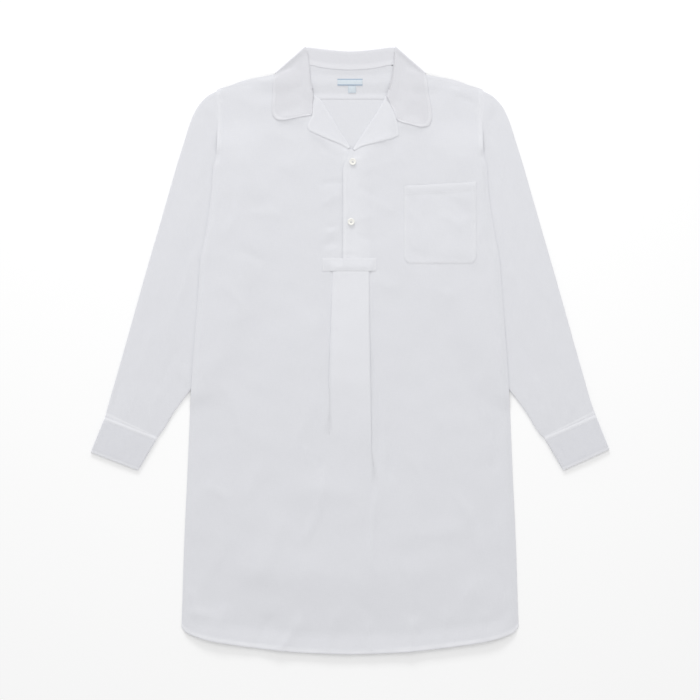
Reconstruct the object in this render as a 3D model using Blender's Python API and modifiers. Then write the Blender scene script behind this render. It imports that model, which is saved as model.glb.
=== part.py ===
# A nightshirt laid flat with its front up: a popover with a camp collar, a buttoned half
# placket over a raised box pleat, a patch pocket and long sleeves with band cuffs.
#
# X runs across the garment, plus to the wearer's left. Y runs from hem to neck. Z is up from
# the surface that the garment lies on. The origin is the middle of the underside.
# Sizes and places below are in millimetres, and MM turns them into metres.

import math
from collections import namedtuple

import bmesh
import bpy
from mathutils import Vector
from mathutils.bvhtree import BVHTree

MM = 0.001

# Walls and the room between them
WALL = 1.2            # body cloth
COLLAR_WALL = 1.5     # two plies with interlining
CUFF_WALL = 1.6
GAP = 0.4             # between two plies that lie on each other
SEAM = 0.3            # between two pieces that are sewn edge to edge
PITCH = WALL + GAP
REST_REACH = 3.0      # a ply rests on the highest point this far round each of its own
ABOVE_ALL = 100.0

# How the body lies over the sleeves and over the back of the collar
SLEEVE_LIFT = 2 * WALL + 2 * GAP
COLLAR_LIFT = COLLAR_WALL + GAP
LIFT_RAMP = 34.0      # the length over which the body comes down to the surface again
LIFT_MARGIN = 9.0     # how far before the sleeve's edge the body is at its full height
LIFT_TOP = 363.0      # the height where the sleeve starts to run under the body
LIFT_TOP_RAMP = 36.0
LIFT_FOOT = -78.0     # the height where the sleeve has come out from under the body
LIFT_FOOT_RAMP = 40.0
UNDERARM = 235.0      # the hidden edge of the sleeve is narrowest below this height
NECK_LIFT_FROM = 458.0
NECK_LIFT_RAMP = 26.0
NECK_LIFT_HALF = 145.0
NECK_LIFT_SIDE_RAMP = 45.0
FRONT_LOFT = 1.4      # air between front and back, away from the seams
LOFT_SIDE_RAMP = 90.0
LOFT_TOP = 515.0
LOFT_TOP_RAMP = 70.0
SLEEVE_LOFT = 1.3
SLEEVE_LOFT_CLEAR = 10.0   # from the body's edge to where the sleeve's loft starts
SLEEVE_LOFT_RAMP = 45.0
SLEEVE_ROUND = 0.7    # how flat the top of the sleeve's loft is
POCKET_LOFT = 0.5

# Half width of the body at each height, from the side of the hem to the neck
Side = namedtuple("Side", "y half")
SIDES = [
    Side(-498, 303), Side(-449, 301.5), Side(-341, 298), Side(-233, 293), Side(-161, 290),
    Side(-53, 285), Side(19, 280), Side(91, 274.5), Side(163, 269), Side(217, 259),
    Side(253, 253.5), Side(289, 249), Side(334, 246), Side(346, 242), Side(370, 238.5),
    Side(415, 237.5), Side(465, 239), Side(469, 238), Side(476, 216), Side(486, 189),
    Side(496, 135), Side(509, 84),
]

# The curved hem: how far below the middle of the garment it is at each distance from it
Hem = namedtuple("Hem", "x y")
HEM = [
    Hem(0, -546.5), Hem(90, -543), Hem(142, -538), Hem(180, -533.5), Hem(216, -528.5),
    Hem(252, -522), Hem(279, -514), Hem(295, -507), Hem(303, -498),
]
BACK_HEM_SHORTER = 4.0
HEM_ROWS_FROM = -449.0
HEM_SIDE = -498.0      # the height of the hem at the side seam

# Inner edge of each half of the front: the placket's edge, the roll of the lapel, then the
# neck seam. The wearer's right half runs on under the other one.
Edge = namedtuple("Edge", "y x")
RIGHT_EDGE = [
    Edge(149, 15), Edge(357, 15), Edge(363, 1.5), Edge(388, -14.5), Edge(424, -36),
    Edge(452, -55), Edge(458, -66), Edge(469, -74), Edge(486, -78.5), Edge(509, -80),
]
LEFT_EDGE = [
    Edge(149, -12.6), Edge(325, -12.6), Edge(337, -9.5), Edge(348, -5), Edge(357, 0),
    Edge(363, 5.5), Edge(397, 29), Edge(436, 54), Edge(458, 67), Edge(469, 76),
    Edge(486, 82), Edge(509, 82.5),
]
PLACKET_FOOT = 149.0
PLACKET_LAP_FROM = 44.0     # from the middle: where the upper half starts to rise over the lower
PLACKET_LAP_RAMP = 24.0
LAP_TOP = 365.0             # above it the two halves part, and both lie at one height
LAP_TOP_RAMP = 30.0
PLACKET_RISE = 9.0
BOX_STEPS = 4         # columns of the pleat's box
NECK_BORDER = 12.0          # strip of the front along the roll and the neck seam
NECK_BORDER_FROM = 325.0
NECK_BORDER_RAMP = 60.0

# Box pleat: its two folds at each height, and the cloth folded in behind each of them
Pleat = namedtuple("Pleat", "y left right depth")
PLEATS = [
    Pleat(-290, -40, 46, 0.8), Pleat(-233, -39, 45, 2.0), Pleat(-161, -38.5, 38.5, 6.0),
    Pleat(-53, -37.5, 37, 10.0), Pleat(55, -34, 35, 13.0), Pleat(147, -30.5, 34.5, 15.0),
]
PLEAT_HEAD = 147.0
PLEAT_FOLDED_TO = -215.0
PLEAT_GONE_AT = -262.0
PLEAT_SPREAD = 16.0   # width that one fold's cloth takes where it lies open
FOLD_STEPS = 3

# Sleeve: ends of each cross line, outer edge first, from the armhole to the cuff
Cross = namedtuple("Cross", "outer_x outer_y inner_x inner_y")
SLEEVE = [
    Cross(239.3, 467, 205, 244), Cross(246.5, 463, 201.5, 221), Cross(255.5, 458, 199, 199),
    Cross(270, 443.5, 198, 177), Cross(279, 429, 200, 155), Cross(288, 407.5, 205, 130),
    Cross(297, 378.5, 212.5, 103), Cross(309.5, 339, 223, 69), Cross(324, 288.5, 239.5, 27.5),
    Cross(341.5, 227.5, 259, -19), Cross(363.5, 152, 281, -62.5), Cross(383.5, 81.5, 302.5, -91),
    Cross(403, 11.5, 320.5, -116.5), Cross(419.5, -46, 333, -138), Cross(432, -89.5, 342, -150.5),
    Cross(440.7, -121.4, 347.2, -157.6),
]
ARMHOLE_STRAIGHT_TO = 354.0
ARMHOLE_TOP = 465.0
ARMHOLE_BEND = 1.5     # how late the armhole turns inwards under the body
ARMHOLE_ROWS = 5      # cross lines over which the armhole's curve dies out
SLEEVE_COLUMNS = [0.12, 0.28, 0.5, 0.72, 0.88]

# Cuff: its four corners on each side, from the seam to the bottom edge
Cuff = namedtuple("Cuff", "seam_outer seam_inner edge_inner edge_outer")
CUFFS = {
    "right": Cuff((441, -122), (347.5, -158), (381.5, -215.5), (466, -183)),
    "left": Cuff((442, -118), (350, -158), (384, -215.5), (466, -178)),
}
CUFF_LENGTH = 62.0
CUFF_ROWS = (SEAM / CUFF_LENGTH, 0.1, 0.5, 0.9, 1.0)

# Yoke and back neck
YOKE_SEAM = 454.0
YOKE_ROWS = (461, 469, 476, 486)
YOKE_TOP_SIDE = 496     # the height where the yoke's last row starts at the side
Neck = namedtuple("Neck", "x y")
BACK_NECK = [Neck(0, 506), Neck(40, 508.5), Neck(70, 514), Neck(84, 509), Neck(135, 495.5)]

# Collar stations. The neck point is where the band is sewn to the body, the roll is where it
# turns over, and the edge is the outer edge of the fall. At the back the fall lies underneath.
Station = namedtuple("Station", "neck roll edge")
COLLAR_BACK = [
    Station((0, 506.3), (0, 538), (0, 491)),
    Station((20, 507.2), (20, 539), (24, 490)),
    Station((40, 508.9), (40, 541), (52, 488)),
    Station((58, 512.2), (60, 543.5), (84, 488)),
    Station((68, 514.6), (73.5, 545), (112, 490)),
]
COLLAR_TURN = {
    "right": Station((74, 515), (81, 546.5), (135, 499)),
    "left": Station((75, 515), (82.5, 546.5), (136.5, 499)),
}
COLLAR_FRONT = {
    "right": [
        Station((78.5, 512), (75, 535), (138, 484)),
        Station((79, 505), (73, 520), (139, 470)),
        Station((78.2, 492), (72.5, 503), (140, 455)),
        Station((76.4, 482), (71, 486), (140.5, 440)),
        Station((72.6, 468.5), (67.2, 470), (140.5, 428)),
    ],
    "left": [
        Station((81.5, 512), (79, 535), (139, 484)),
        Station((81.7, 505), (78.5, 520), (140.5, 470)),
        Station((81, 490), (76, 500), (143.5, 452)),
        Station((78.5, 480), (73, 485), (146, 436)),
        Station((74.6, 468.5), (69, 471), (147.5, 420)),
    ],
}

# Free end of the collar: from the gorge seam to the front edge of the fall
End = namedtuple("End", "gorge edge")
COLLAR_END = {
    "right": [
        End((66.5, 458), (134, 416)), End((67.5, 450), (123, 413)),
        End((68.5, 440), (105, 416)), End((69, 430), (82, 421)), End((69.2, 424.5), (74.5, 421.8)),
    ],
    "left": [
        End((67, 458), (141, 403)), End((71, 448), (128, 401)),
        End((77, 436), (111, 405)), End((82.5, 424), (95, 409)), End((84.6, 416), (88.5, 411.6)),
    ],
}

# Points across the collar: up the band, round the roll and out over the fall, and the steps in
# which the fall turns over the side of the neck
BAND_SHARES = (0.0, 0.6, 1.0)
ROLL_ANGLES = (-45, 0, 45, 90)
FALL_SHARES = (0.2, 0.45, 0.7, 0.88, 1.0)
TURN_ANGLES = (90, 45, 0, -45, -90)
TURN_BAND_FROM = 0.25     # the band itself changes height over the middle half of the turn
TURN_BAND_SPAN = 0.5

# Lapel: from the roll to the outer edge, from the gorge down to the first button
Lapel = namedtuple("Lapel", "roll edge")
LAPELS = {
    "right": [
        Lapel((-61, 455.6), (-64, 451)), Lapel((-54, 451), (-66.3, 437)),
        Lapel((-45, 437), (-68, 422.5)), Lapel((-36, 423), (-77, 402)),
        Lapel((-29, 411), (-74, 396)), Lapel((-22, 399.5), (-54, 386)),
        Lapel((-14.8, 387.5), (-34, 377.5)), Lapel((-7, 376), (-16, 370)),
        Lapel((0.3, 364.5), (-2.5, 362)),
    ],
    "left": [
        Lapel((65.2, 457.6), (68, 452)), Lapel((59.5, 446), (74.5, 435.5)),
        Lapel((53.5, 436), (84.3, 413)), Lapel((45, 421.5), (88, 388)),
        Lapel((37, 410), (81, 383)), Lapel((29, 397), (63, 377)),
        Lapel((20.7, 384.5), (40, 371.5)), Lapel((12.6, 372.5), (21.5, 366.5)),
        Lapel((5.4, 362), (7.5, 358.5)),
    ],
}

LAPEL_COLUMNS = (0, 0.25, 0.5, 0.75, 1)

# Pocket and tab
POCKET_LEFT = 97.0
POCKET_RIGHT = 227.0
POCKET_TOP = 296.0
POCKET_TOP_RISE = 7.0      # the opening lies higher towards the side seam
POCKET_BOTTOM = 155.5
POCKET_CORNER = 9.0
POCKET_ROWS = (0.0, 0.07, 0.2, 0.4, 0.6, 0.8, 1.0)     # the first of them is where the corners end
POCKET_COLUMNS = (0.0, 0.08, 0.22, 0.36, 0.5, 0.64, 0.78, 0.92, 1.0)
POCKET_PUFF_FROM = 0.2     # share of its width over which it rises from its sewn edges
TAB = (-50.0, 47.5, 141.0, 166.0)        # left, right, bottom, top
TAB_STEPS = (12, 5)
TAB_REACH = 5.5       # it bridges the hollows beside the head of the pleat

# Labels inside the back neck, each as left, right, bottom and top
LABEL = (-22.5, 22.5, 476.2, 488.7)
SIZE_TAB = (-3.4, 10.6, 463.2, 475.7)
LABEL_WALL = 1.0
LABEL_STEPS = (4, 2)
SIZE_TAB_STEPS = (2, 2)

# Buttons: the places of their middles, and a turned section from the top of the middle outwards
# and down to the underside
BUTTONS = [(5.0, 339.0), (2.0, 231.0)]
Turned = namedtuple("Turned", "radius height")
BUTTON_SECTION = [
    Turned(0, 1.8), Turned(3.7, 1.8), Turned(4.3, 2.3), Turned(5.1, 2.4), Turned(5.8, 1.5),
    Turned(5.3, 0.3), Turned(4.6, 0), Turned(0, 0),
]
BUTTON_STEPS = 20

# Columns of the body from the side seam inwards, as shares of the way in, and rows up it, both
# close together where the body comes down off the sleeve and where the pleat opens
BODY_COLUMNS = [0, 0.05, 0.1, 0.16, 0.23, 0.3, 0.4, 0.6, 0.8, 1]
STRIP_COLUMNS = [0, 0.34, 0.67, 1]
BODY_ROWS = [-449, -375, -300, -262, -238, -215, -161, -115, -96, -78, -40, 0, 50, 100, 147]
UPPER_ROWS = [149, 165, 190, 215, 250, 280, 305, 325, 337, 348, 357, 363, 375, 388, 405, 424, 438,
              452, 458, 469, 476, 486, 496, 509]
BACK_ROWS = [-449, -300, -161, -115, -96, -78, -40, 0, 50, 100, 147, 190, 235, 280, 325, 348, 363,
             380, 397, 415, 436]
BACK_INNER = 17.0     # where the back's side columns end
HEM_SHARES = (1.0, 0.7, 0.35)    # rows below the straight ones, as shares of the way to the hem
SHOULDER_JOIN = 0.7   # how far in the halves of the front are joined where they are narrow

# Colours as seen, 0 to 1 in display values
CLOTH_COLOUR = (0.88, 0.885, 0.9)
COLLAR_COLOUR = (0.875, 0.88, 0.895)
LABEL_COLOUR = (0.8, 0.83, 0.88)
BUTTON_COLOUR = (0.86, 0.86, 0.85)


def smooth(t):
    t = min(max(t, 0.0), 1.0)
    return t * t * (3.0 - 2.0 * t)


def mix(a, b, t):
    return a + (b - a) * t


def read(table, key, value, at):
    # One column of a table between its rows, on a smooth curve that never overshoots them
    xs = [getattr(row, key) for row in table]
    ys = [getattr(row, value) for row in table]
    if at <= xs[0]:
        return ys[0]
    if at >= xs[-1]:
        return ys[-1]
    slopes = [(ys[i + 1] - ys[i]) / (xs[i + 1] - xs[i]) for i in range(len(xs) - 1)]

    def tangent(i):
        if i == 0 or i == len(xs) - 1:
            return slopes[min(i, len(slopes) - 1)]
        before, after = slopes[i - 1], slopes[i]
        return 0.0 if before * after <= 0 else 2 * before * after / (before + after)

    i = max(k for k in range(len(xs) - 1) if xs[k] <= at)
    step = xs[i + 1] - xs[i]
    t = (at - xs[i]) / step
    return ((1 + 2 * t) * (1 - t) ** 2 * ys[i] + t * (1 - t) ** 2 * step * tangent(i)
            + t * t * (3 - 2 * t) * ys[i + 1] - t * t * (1 - t) * step * tangent(i + 1))


def half_width(y):
    return read(SIDES, "y", "half", y)


def hem_height(x):
    return read(HEM, "x", "y", abs(x))


def hem_width(share):
    # How much wider a row is, at a share of the way down from the last straight row to the hem
    return half_width(mix(HEM_ROWS_FROM, HEM_SIDE, share)) / half_width(HEM_ROWS_FROM)


def sleeve_inner(y):
    # Distance from the middle to the hidden inner edge of the sleeve, under the body
    lines = sorted(SLEEVE, key=lambda cross: cross.inner_y)
    return read(lines, "inner_y", "inner_x", y)


def lift(x, y):
    # Height of the body's underside over the surface: over the sleeves, and over the fall
    # of the collar at the back of the neck
    beyond = abs(x) - sleeve_inner(min(y, UNDERARM)) + LIFT_MARGIN
    over_sleeve = smooth(1 + beyond / LIFT_RAMP)
    over_sleeve *= smooth(1 + (LIFT_TOP - y) / LIFT_TOP_RAMP)
    over_sleeve *= smooth(1 + (y - LIFT_FOOT) / LIFT_FOOT_RAMP)
    near_collar = smooth((y - NECK_LIFT_FROM) / NECK_LIFT_RAMP)
    near_collar *= smooth(1 + (NECK_LIFT_HALF - abs(x)) / NECK_LIFT_SIDE_RAMP)
    return SLEEVE_LIFT * over_sleeve + COLLAR_LIFT * near_collar


def front_middle(x, y):
    # Height of the middle of the front's wall
    loft = smooth((half_width(y) - abs(x)) / LOFT_SIDE_RAMP)
    loft *= smooth((LOFT_TOP - y) / LOFT_TOP_RAMP) * smooth((y - hem_height(x)) / LOFT_SIDE_RAMP)
    return lift(x, y) + 1.5 * WALL + GAP + FRONT_LOFT * loft


def material(name, colour, roughness):
    made = bpy.data.materials.new(name)
    made.use_nodes = True
    shader = made.node_tree.nodes["Principled BSDF"]
    shader.inputs["Base Color"].default_value = [channel ** 2.2 for channel in colour] + [1.0]
    shader.inputs["Roughness"].default_value = roughness
    shader.inputs["Metallic"].default_value = 0.0
    return made


def add_grid(bm, rows, closed=False):
    # Faces between rows of points, which all have the same number of points
    made = [[bm.verts.new(Vector(point) * MM) for point in row] for row in rows]
    last = len(made[0]) if closed else len(made[0]) - 1
    for lower, upper in zip(made, made[1:]):
        for i in range(last):
            j = (i + 1) % len(lower)
            bm.faces.new((lower[i], lower[j], upper[j], upper[i]))


def add_piece(collection, name, patches, wall, colour, closed=False):
    # A cloth piece: patches of points joined into one sheet, with a wall of its own
    bm = bmesh.new()
    for rows in patches:
        add_grid(bm, rows, closed)
    bmesh.ops.remove_doubles(bm, verts=bm.verts, dist=0.00002)
    bmesh.ops.recalc_face_normals(bm, faces=bm.faces)
    mesh = bpy.data.meshes.new(name)
    bm.to_mesh(mesh)
    bm.free()
    mesh.shade_smooth()
    piece = bpy.data.objects.new(name, mesh)
    piece.data.materials.append(material(name, colour, 0.85))
    collection.objects.link(piece)
    solidify = piece.modifiers.new("wall", "SOLIDIFY")
    solidify.thickness = wall * MM
    solidify.offset = 0.0
    return piece


def surface_of(pieces):
    # Everything built so far that other pieces lie on, for reading heights
    bm = bmesh.new()
    graph = bpy.context.evaluated_depsgraph_get()
    for piece in pieces:
        bm.from_mesh(piece.evaluated_get(graph).to_mesh())
        piece.evaluated_get(graph).to_mesh_clear()
    tree = BVHTree.FromBMesh(bm)
    bm.free()
    return tree


def top_at(tree, x, y, reach=REST_REACH):
    # Highest point under a small patch round x and y
    found = 0.0
    for dx in (-reach, 0.0, reach):
        for dy in (-reach, 0.0, reach):
            place = Vector((x + dx, y + dy, ABOVE_ALL)) * MM
            hit = tree.ray_cast(place, Vector((0, 0, -1)))[0]
            if hit:
                found = max(found, hit.z / MM)
    return found


def fold_points(depth):
    # Section of one fold of the pleat, from the top of the box outwards and down to the panel:
    # offsets from the fold line, plus outwards, and heights over the panel
    radius = PITCH / 2
    points = []
    for step in range(FOLD_STEPS + 1):
        angle = math.pi * step / FOLD_STEPS
        points.append((radius * (math.sin(angle) - 1), 2 * PITCH - radius * (1 - math.cos(angle))))
    for step in range(FOLD_STEPS + 1):
        angle = math.pi * step / FOLD_STEPS
        points.append((-radius * (1 + math.sin(angle)) - depth, PITCH - radius * (1 - math.cos(angle))))
    return points


def pleat_row(y, side):
    # One fold of the pleat at a height, from the box top outwards, as (x, height over the panel)
    folded = fold_points(read(PLEATS, "y", "depth", y))
    line = read(PLEATS, "y", "right" if side > 0 else "left", y)
    opening = 1.0 - smooth((y - PLEAT_GONE_AT) / (PLEAT_FOLDED_TO - PLEAT_GONE_AT))
    count = len(folded) - 1
    row = []
    for i, (out, height) in enumerate(folded):
        flat = PLEAT_SPREAD * (i / count - 0.5)
        row.append((line + side * mix(out, flat, opening), height * (1.0 - opening)))
    return row


def build_front(collection):
    # Lower part: both sides and the pleat as one row of points from side to side
    def lower_row(y):
        left_fold = pleat_row(y, -1)
        right_fold = pleat_row(y, 1)
        width = half_width(y)
        row = [(mix(-width, left_fold[-1][0], share), y, 0.0) for share in BODY_COLUMNS[:-1]]
        row += [(x, y, height) for x, height in reversed(left_fold)]
        inner = [mix(left_fold[0][0], right_fold[0][0], k / BOX_STEPS) for k in range(1, BOX_STEPS)]
        row += [(x, y, left_fold[0][1]) for x in inner]
        row += [(x, y, height) for x, height in right_fold]
        row += [(mix(width, right_fold[-1][0], share), y, 0.0) for share in reversed(BODY_COLUMNS[:-1])]
        return row

    def placed(row):
        return [(x, y, front_middle(x, y) + height) for x, y, height in row]

    first = lower_row(HEM_ROWS_FROM)
    lower = []
    for share in HEM_SHARES:
        widths = hem_width(share)
        row = [(x * widths, y, height) for x, y, height in first]
        lower.append(placed([(x, mix(y, hem_height(x), share), height) for x, y, height in row]))
    lower += [placed(lower_row(y)) for y in BODY_ROWS]

    # Upper halves: the side columns run on, and a strip of their own reaches the inner edge
    def upper(side, table):
        panel, strip = [], []
        for y in [BODY_ROWS[-1]] + UPPER_ROWS:
            join = pleat_row(BODY_ROWS[-1], side)[-1][0]
            edge = read(table, "y", "x", y)
            width = side * half_width(y)
            if y > PLACKET_FOOT:
                border = NECK_BORDER * smooth((y - NECK_BORDER_FROM) / NECK_BORDER_RAMP)
                join = side * max(side * join, side * edge + border)
            if abs(join) > abs(width):
                join = mix(width, edge, SHOULDER_JOIN)
            lap = 0.0
            if side > 0:
                lap = PITCH * smooth((y - PLEAT_HEAD) / PLACKET_RISE)
                lap *= smooth(1 + (LAP_TOP - y) / LAP_TOP_RAMP)

            def point(x):
                # The wearer's left half lies over the other one along the placket
                return (x, y, front_middle(x, y) + lap * smooth((PLACKET_LAP_FROM - x) / PLACKET_LAP_RAMP))

            panel.append([point(mix(width, join, share)) for share in BODY_COLUMNS])
            if y >= PLACKET_FOOT:
                strip.append([point(mix(join, edge, share)) for share in STRIP_COLUMNS])
        return [panel, strip]

    patches = [lower] + upper(-1, RIGHT_EDGE) + upper(1, LEFT_EDGE)
    return add_piece(collection, "front", patches, WALL, CLOTH_COLOUR)


def back_row(y):
    # Points across the whole back at a height
    width = half_width(y)
    xs = [-mix(width, BACK_INNER, share) for share in BODY_COLUMNS]
    xs = xs + [0.0] + [-x for x in reversed(xs)]
    return [(x, y, lift(x, y) + WALL / 2) for x in xs]


def build_back(collection):
    rows = []
    first = back_row(HEM_ROWS_FROM)
    for share in HEM_SHARES:
        widths = hem_width(share)
        rows.append([(x * widths, mix(y, hem_height(x * widths) + BACK_HEM_SHORTER, share), z)
                     for x, y, z in first])
    rows += [back_row(y) for y in BACK_ROWS + [YOKE_SEAM - SEAM / 2]]
    return add_piece(collection, "back", [rows], WALL, CLOTH_COLOUR)


def build_yoke(collection):
    # From the seam across the back up to the shoulders and the back neck
    def top(x):
        return read(BACK_NECK, "x", "y", abs(x))

    rows = [back_row(y) for y in (YOKE_SEAM + SEAM / 2,) + YOKE_ROWS]
    rows.append([(x, top(x) - SEAM, z) for x, y, z in back_row(YOKE_TOP_SIDE)])
    return add_piece(collection, "yoke", [rows], WALL, CLOTH_COLOUR)


def armhole_x(y):
    # The sleeve's edge of the armhole: along the body, then under it
    if y > ARMHOLE_STRAIGHT_TO:
        return half_width(min(y, ARMHOLE_TOP)) + SEAM
    foot = SLEEVE[0]
    share = (ARMHOLE_STRAIGHT_TO - y) / (ARMHOLE_STRAIGHT_TO - foot.inner_y)
    return mix(half_width(ARMHOLE_STRAIGHT_TO) + SEAM, foot.inner_x, share ** ARMHOLE_BEND)


def sleeve_point(lines, index, share):
    # A point of a cross line of the sleeve, bowed towards the armhole near it
    cross = lines[index]
    x = mix(cross.outer_x, cross.inner_x, share)
    y = mix(cross.outer_y, cross.inner_y, share)
    foot = SLEEVE[0]
    along = mix(foot.outer_y, foot.inner_y, share)
    bow = armhole_x(along) - mix(foot.outer_x, foot.inner_x, share)
    return x + bow * max(0.0, 1 - index / ARMHOLE_ROWS), y


def tube_ring(outer, inner, point_at, wall, loft_at, side):
    # A flattened ring: over the top from the outer fold to the inner one, and back underneath
    radius = (wall + GAP) / 2
    middle = wall / 2 + radius
    ring = []
    for start, near, turns in ((outer, point_at(SLEEVE_COLUMNS[0]), (-1, 0, 1)),
                               (inner, point_at(SLEEVE_COLUMNS[-1]), (1, 0, -1))):
        if start is inner:
            for share in SLEEVE_COLUMNS:
                x, y = point_at(share)
                ring.append((x * side, y, middle + radius + loft_at(x, y, share)))
        inwards = Vector((near[0] - start[0], near[1] - start[1])).normalized()
        for turn in turns:
            inset = radius * (1 - math.cos(turn * math.pi / 2))
            x = start[0] + inwards.x * inset
            y = start[1] + inwards.y * inset
            ring.append((x * side, y, middle + radius * math.sin(turn * math.pi / 2)))
    for share in reversed(SLEEVE_COLUMNS):
        x, y = point_at(share)
        ring.append((x * side, y, middle - radius))
    return ring


def build_sleeve(collection, name, cuff, side):
    lines = SLEEVE[:-1] + [Cross(*cuff.seam_outer, *cuff.seam_inner)]

    def loft_at(x, y, share):
        clear = x - half_width(min(y, YOKE_SEAM)) - SLEEVE_LOFT_CLEAR
        return SLEEVE_LOFT * smooth(clear / SLEEVE_LOFT_RAMP) * math.sin(math.pi * share) ** SLEEVE_ROUND

    rings = []
    for index in range(len(lines)):
        def point_at(share, index=index):
            return sleeve_point(lines, index, share)

        rings.append(tube_ring(point_at(0.0), point_at(1.0), point_at, WALL, loft_at, side))
    return add_piece(collection, name, [rings], WALL, CLOTH_COLOUR, closed=True)


def build_cuff(collection, name, cuff, side):
    rings = []
    for along in CUFF_ROWS:
        outer = [mix(a, b, along) for a, b in zip(cuff.seam_outer, cuff.edge_outer)]
        inner = [mix(a, b, along) for a, b in zip(cuff.seam_inner, cuff.edge_inner)]

        def point_at(share, outer=outer, inner=inner):
            return mix(outer[0], inner[0], share), mix(outer[1], inner[1], share)

        rings.append(tube_ring(outer, inner, point_at, CUFF_WALL, lambda x, y, share: 0.0, side))
    return add_piece(collection, name, [rings], CUFF_WALL, CLOTH_COLOUR, closed=True)


def build_collar(collection, beneath):
    # Heights: the fall lies on the surface behind the neck and on the front before it, and
    # between the two it turns over the side of the neck
    floor_fall = COLLAR_WALL / 2
    back_band = COLLAR_LIFT + COLLAR_WALL / 2
    front_band = COLLAR_LIFT + 1.5 * WALL + GAP

    def leaf_height(x, y):
        return max(top_at(beneath, x, y), front_band + WALL / 2) + GAP + COLLAR_WALL / 2

    def band(neck, roll, low, high, side):
        # From the neck seam up to the roll and round it to the start of the fall
        out = Vector((roll[0] - neck[0], roll[1] - neck[1])).normalized()
        radius = abs(high - low) / 2
        points = []
        for share in BAND_SHARES:
            x = mix(neck[0], roll[0] - out.x * radius, share)
            y = mix(neck[1], roll[1] - out.y * radius, share)
            points.append((x * side, y, low))
        for angle in ROLL_ANGLES:
            inset = radius * (1 - math.cos(math.radians(angle)))
            z = mix(low, high, 0.5 + 0.5 * math.sin(math.radians(angle)))
            points.append(((roll[0] - out.x * inset) * side, roll[1] - out.y * inset, z))
        return points

    bands, falls = [], []

    def add_station(neck, roll, edge, low, high, side, heights):
        section = band(neck, roll, low, high, side)
        start = section[-1]
        fall = [start]
        for share in FALL_SHARES:
            x = mix(start[0], edge[0] * side, share)
            y = mix(start[1], edge[1], share)
            fall.append((x, y, heights(x, y, share)))
        bands.append(section)
        falls.append(fall)

    def add_end(end, side):
        fall = []
        for share in (0.0,) + FALL_SHARES:
            x = mix(end.gorge[0], end.edge[0], share) * side
            y = mix(end.gorge[1], end.edge[1], share)
            fall.append((x, y, leaf_height(x, y)))
        falls.append(fall)

    def add_turn(turn, side, angle, leaf):
        # The fall turns round the straight line from the roll's corner to the shoulder
        line = Vector((turn.edge[0] - turn.roll[0], turn.edge[1] - turn.roll[1])).normalized()
        outward = Vector((-line.y, line.x))
        radius = (leaf - floor_fall) / 2
        inset = radius * (1 - math.cos(math.radians(angle)))
        height = floor_fall + radius * (1 + math.sin(math.radians(angle)))
        share = 0.5 + angle / 180
        low = mix(back_band, front_band, TURN_BAND_FROM + TURN_BAND_SPAN * share)
        roll = (turn.roll[0] - outward.x * inset, turn.roll[1] - outward.y * inset)
        edge = (turn.edge[0] - outward.x * inset, turn.edge[1] - outward.y * inset)
        add_station(turn.neck, roll, edge, low, height, side, lambda x, y, share: height)

    def add_front(stations, side):
        for index, station in enumerate(stations):
            start = leaf_height(station.roll[0] * side, station.roll[1])
            add_station(station.neck, station.roll, station.edge, front_band, start, side,
                        lambda x, y, share: leaf_height(x, y))

    leaf = front_band + WALL / 2 + GAP + COLLAR_WALL / 2
    for end in reversed(COLLAR_END["right"]):
        add_end(end, -1)
    add_front(list(reversed(COLLAR_FRONT["right"])), -1)
    for angle in TURN_ANGLES:
        add_turn(COLLAR_TURN["right"], -1, angle, leaf)
    for side, stations in ((-1, reversed(COLLAR_BACK[1:])), (1, COLLAR_BACK)):
        for station in stations:
            add_station(station.neck, station.roll, station.edge, back_band, floor_fall, side,
                        lambda x, y, share: floor_fall)
    for angle in reversed(TURN_ANGLES):
        add_turn(COLLAR_TURN["left"], 1, angle, leaf)
    add_front(COLLAR_FRONT["left"], 1)
    for end in COLLAR_END["left"]:
        add_end(end, 1)
    return add_piece(collection, "collar", [bands, falls], COLLAR_WALL, COLLAR_COLOUR)


def build_lapel(collection, name, lapels, beneath):
    rows = []
    for lapel in lapels:
        row = []
        for share in LAPEL_COLUMNS:
            x = mix(lapel.roll[0], lapel.edge[0], share)
            y = mix(lapel.roll[1], lapel.edge[1], share)
            row.append((x, y, top_at(beneath, x, y) + GAP + WALL / 2))
        rows.append(row)
    return add_piece(collection, name, [rows], WALL, CLOTH_COLOUR)


def build_patch(collection, name, box, steps, beneath, wall=WALL, colour=CLOTH_COLOUR, reach=REST_REACH):
    # A plain patch that lies on what is under it: its box is left, right, bottom and top
    left, right, bottom, top = box
    rows = []
    for v in range(steps[1] + 1):
        row = []
        for u in range(steps[0] + 1):
            x = mix(left, right, u / steps[0])
            y = mix(bottom, top, v / steps[1])
            row.append((x, y, top_at(beneath, x, y, reach) + GAP + wall / 2))
        rows.append(row)
    return add_piece(collection, name, [rows], wall, colour)


def build_pocket(collection, beneath):
    # Its lower corners are cut off, and its opening stands a little away from the front
    rows = []
    for v in POCKET_ROWS:
        row = []
        for u in POCKET_COLUMNS:
            inset = POCKET_CORNER * max(0.0, 1 - v / POCKET_ROWS[1])
            x = mix(POCKET_LEFT + inset, POCKET_RIGHT - inset, u)
            y = mix(POCKET_BOTTOM, POCKET_TOP + POCKET_TOP_RISE * u, v)
            puff = POCKET_LOFT * smooth(min(u, 1 - u) / POCKET_PUFF_FROM) * smooth(v / POCKET_PUFF_FROM)
            row.append((x, y, top_at(beneath, x, y) + GAP + WALL / 2 + puff))
        rows.append(row)
    return add_piece(collection, "pocket", [rows], WALL, CLOTH_COLOUR)


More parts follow.
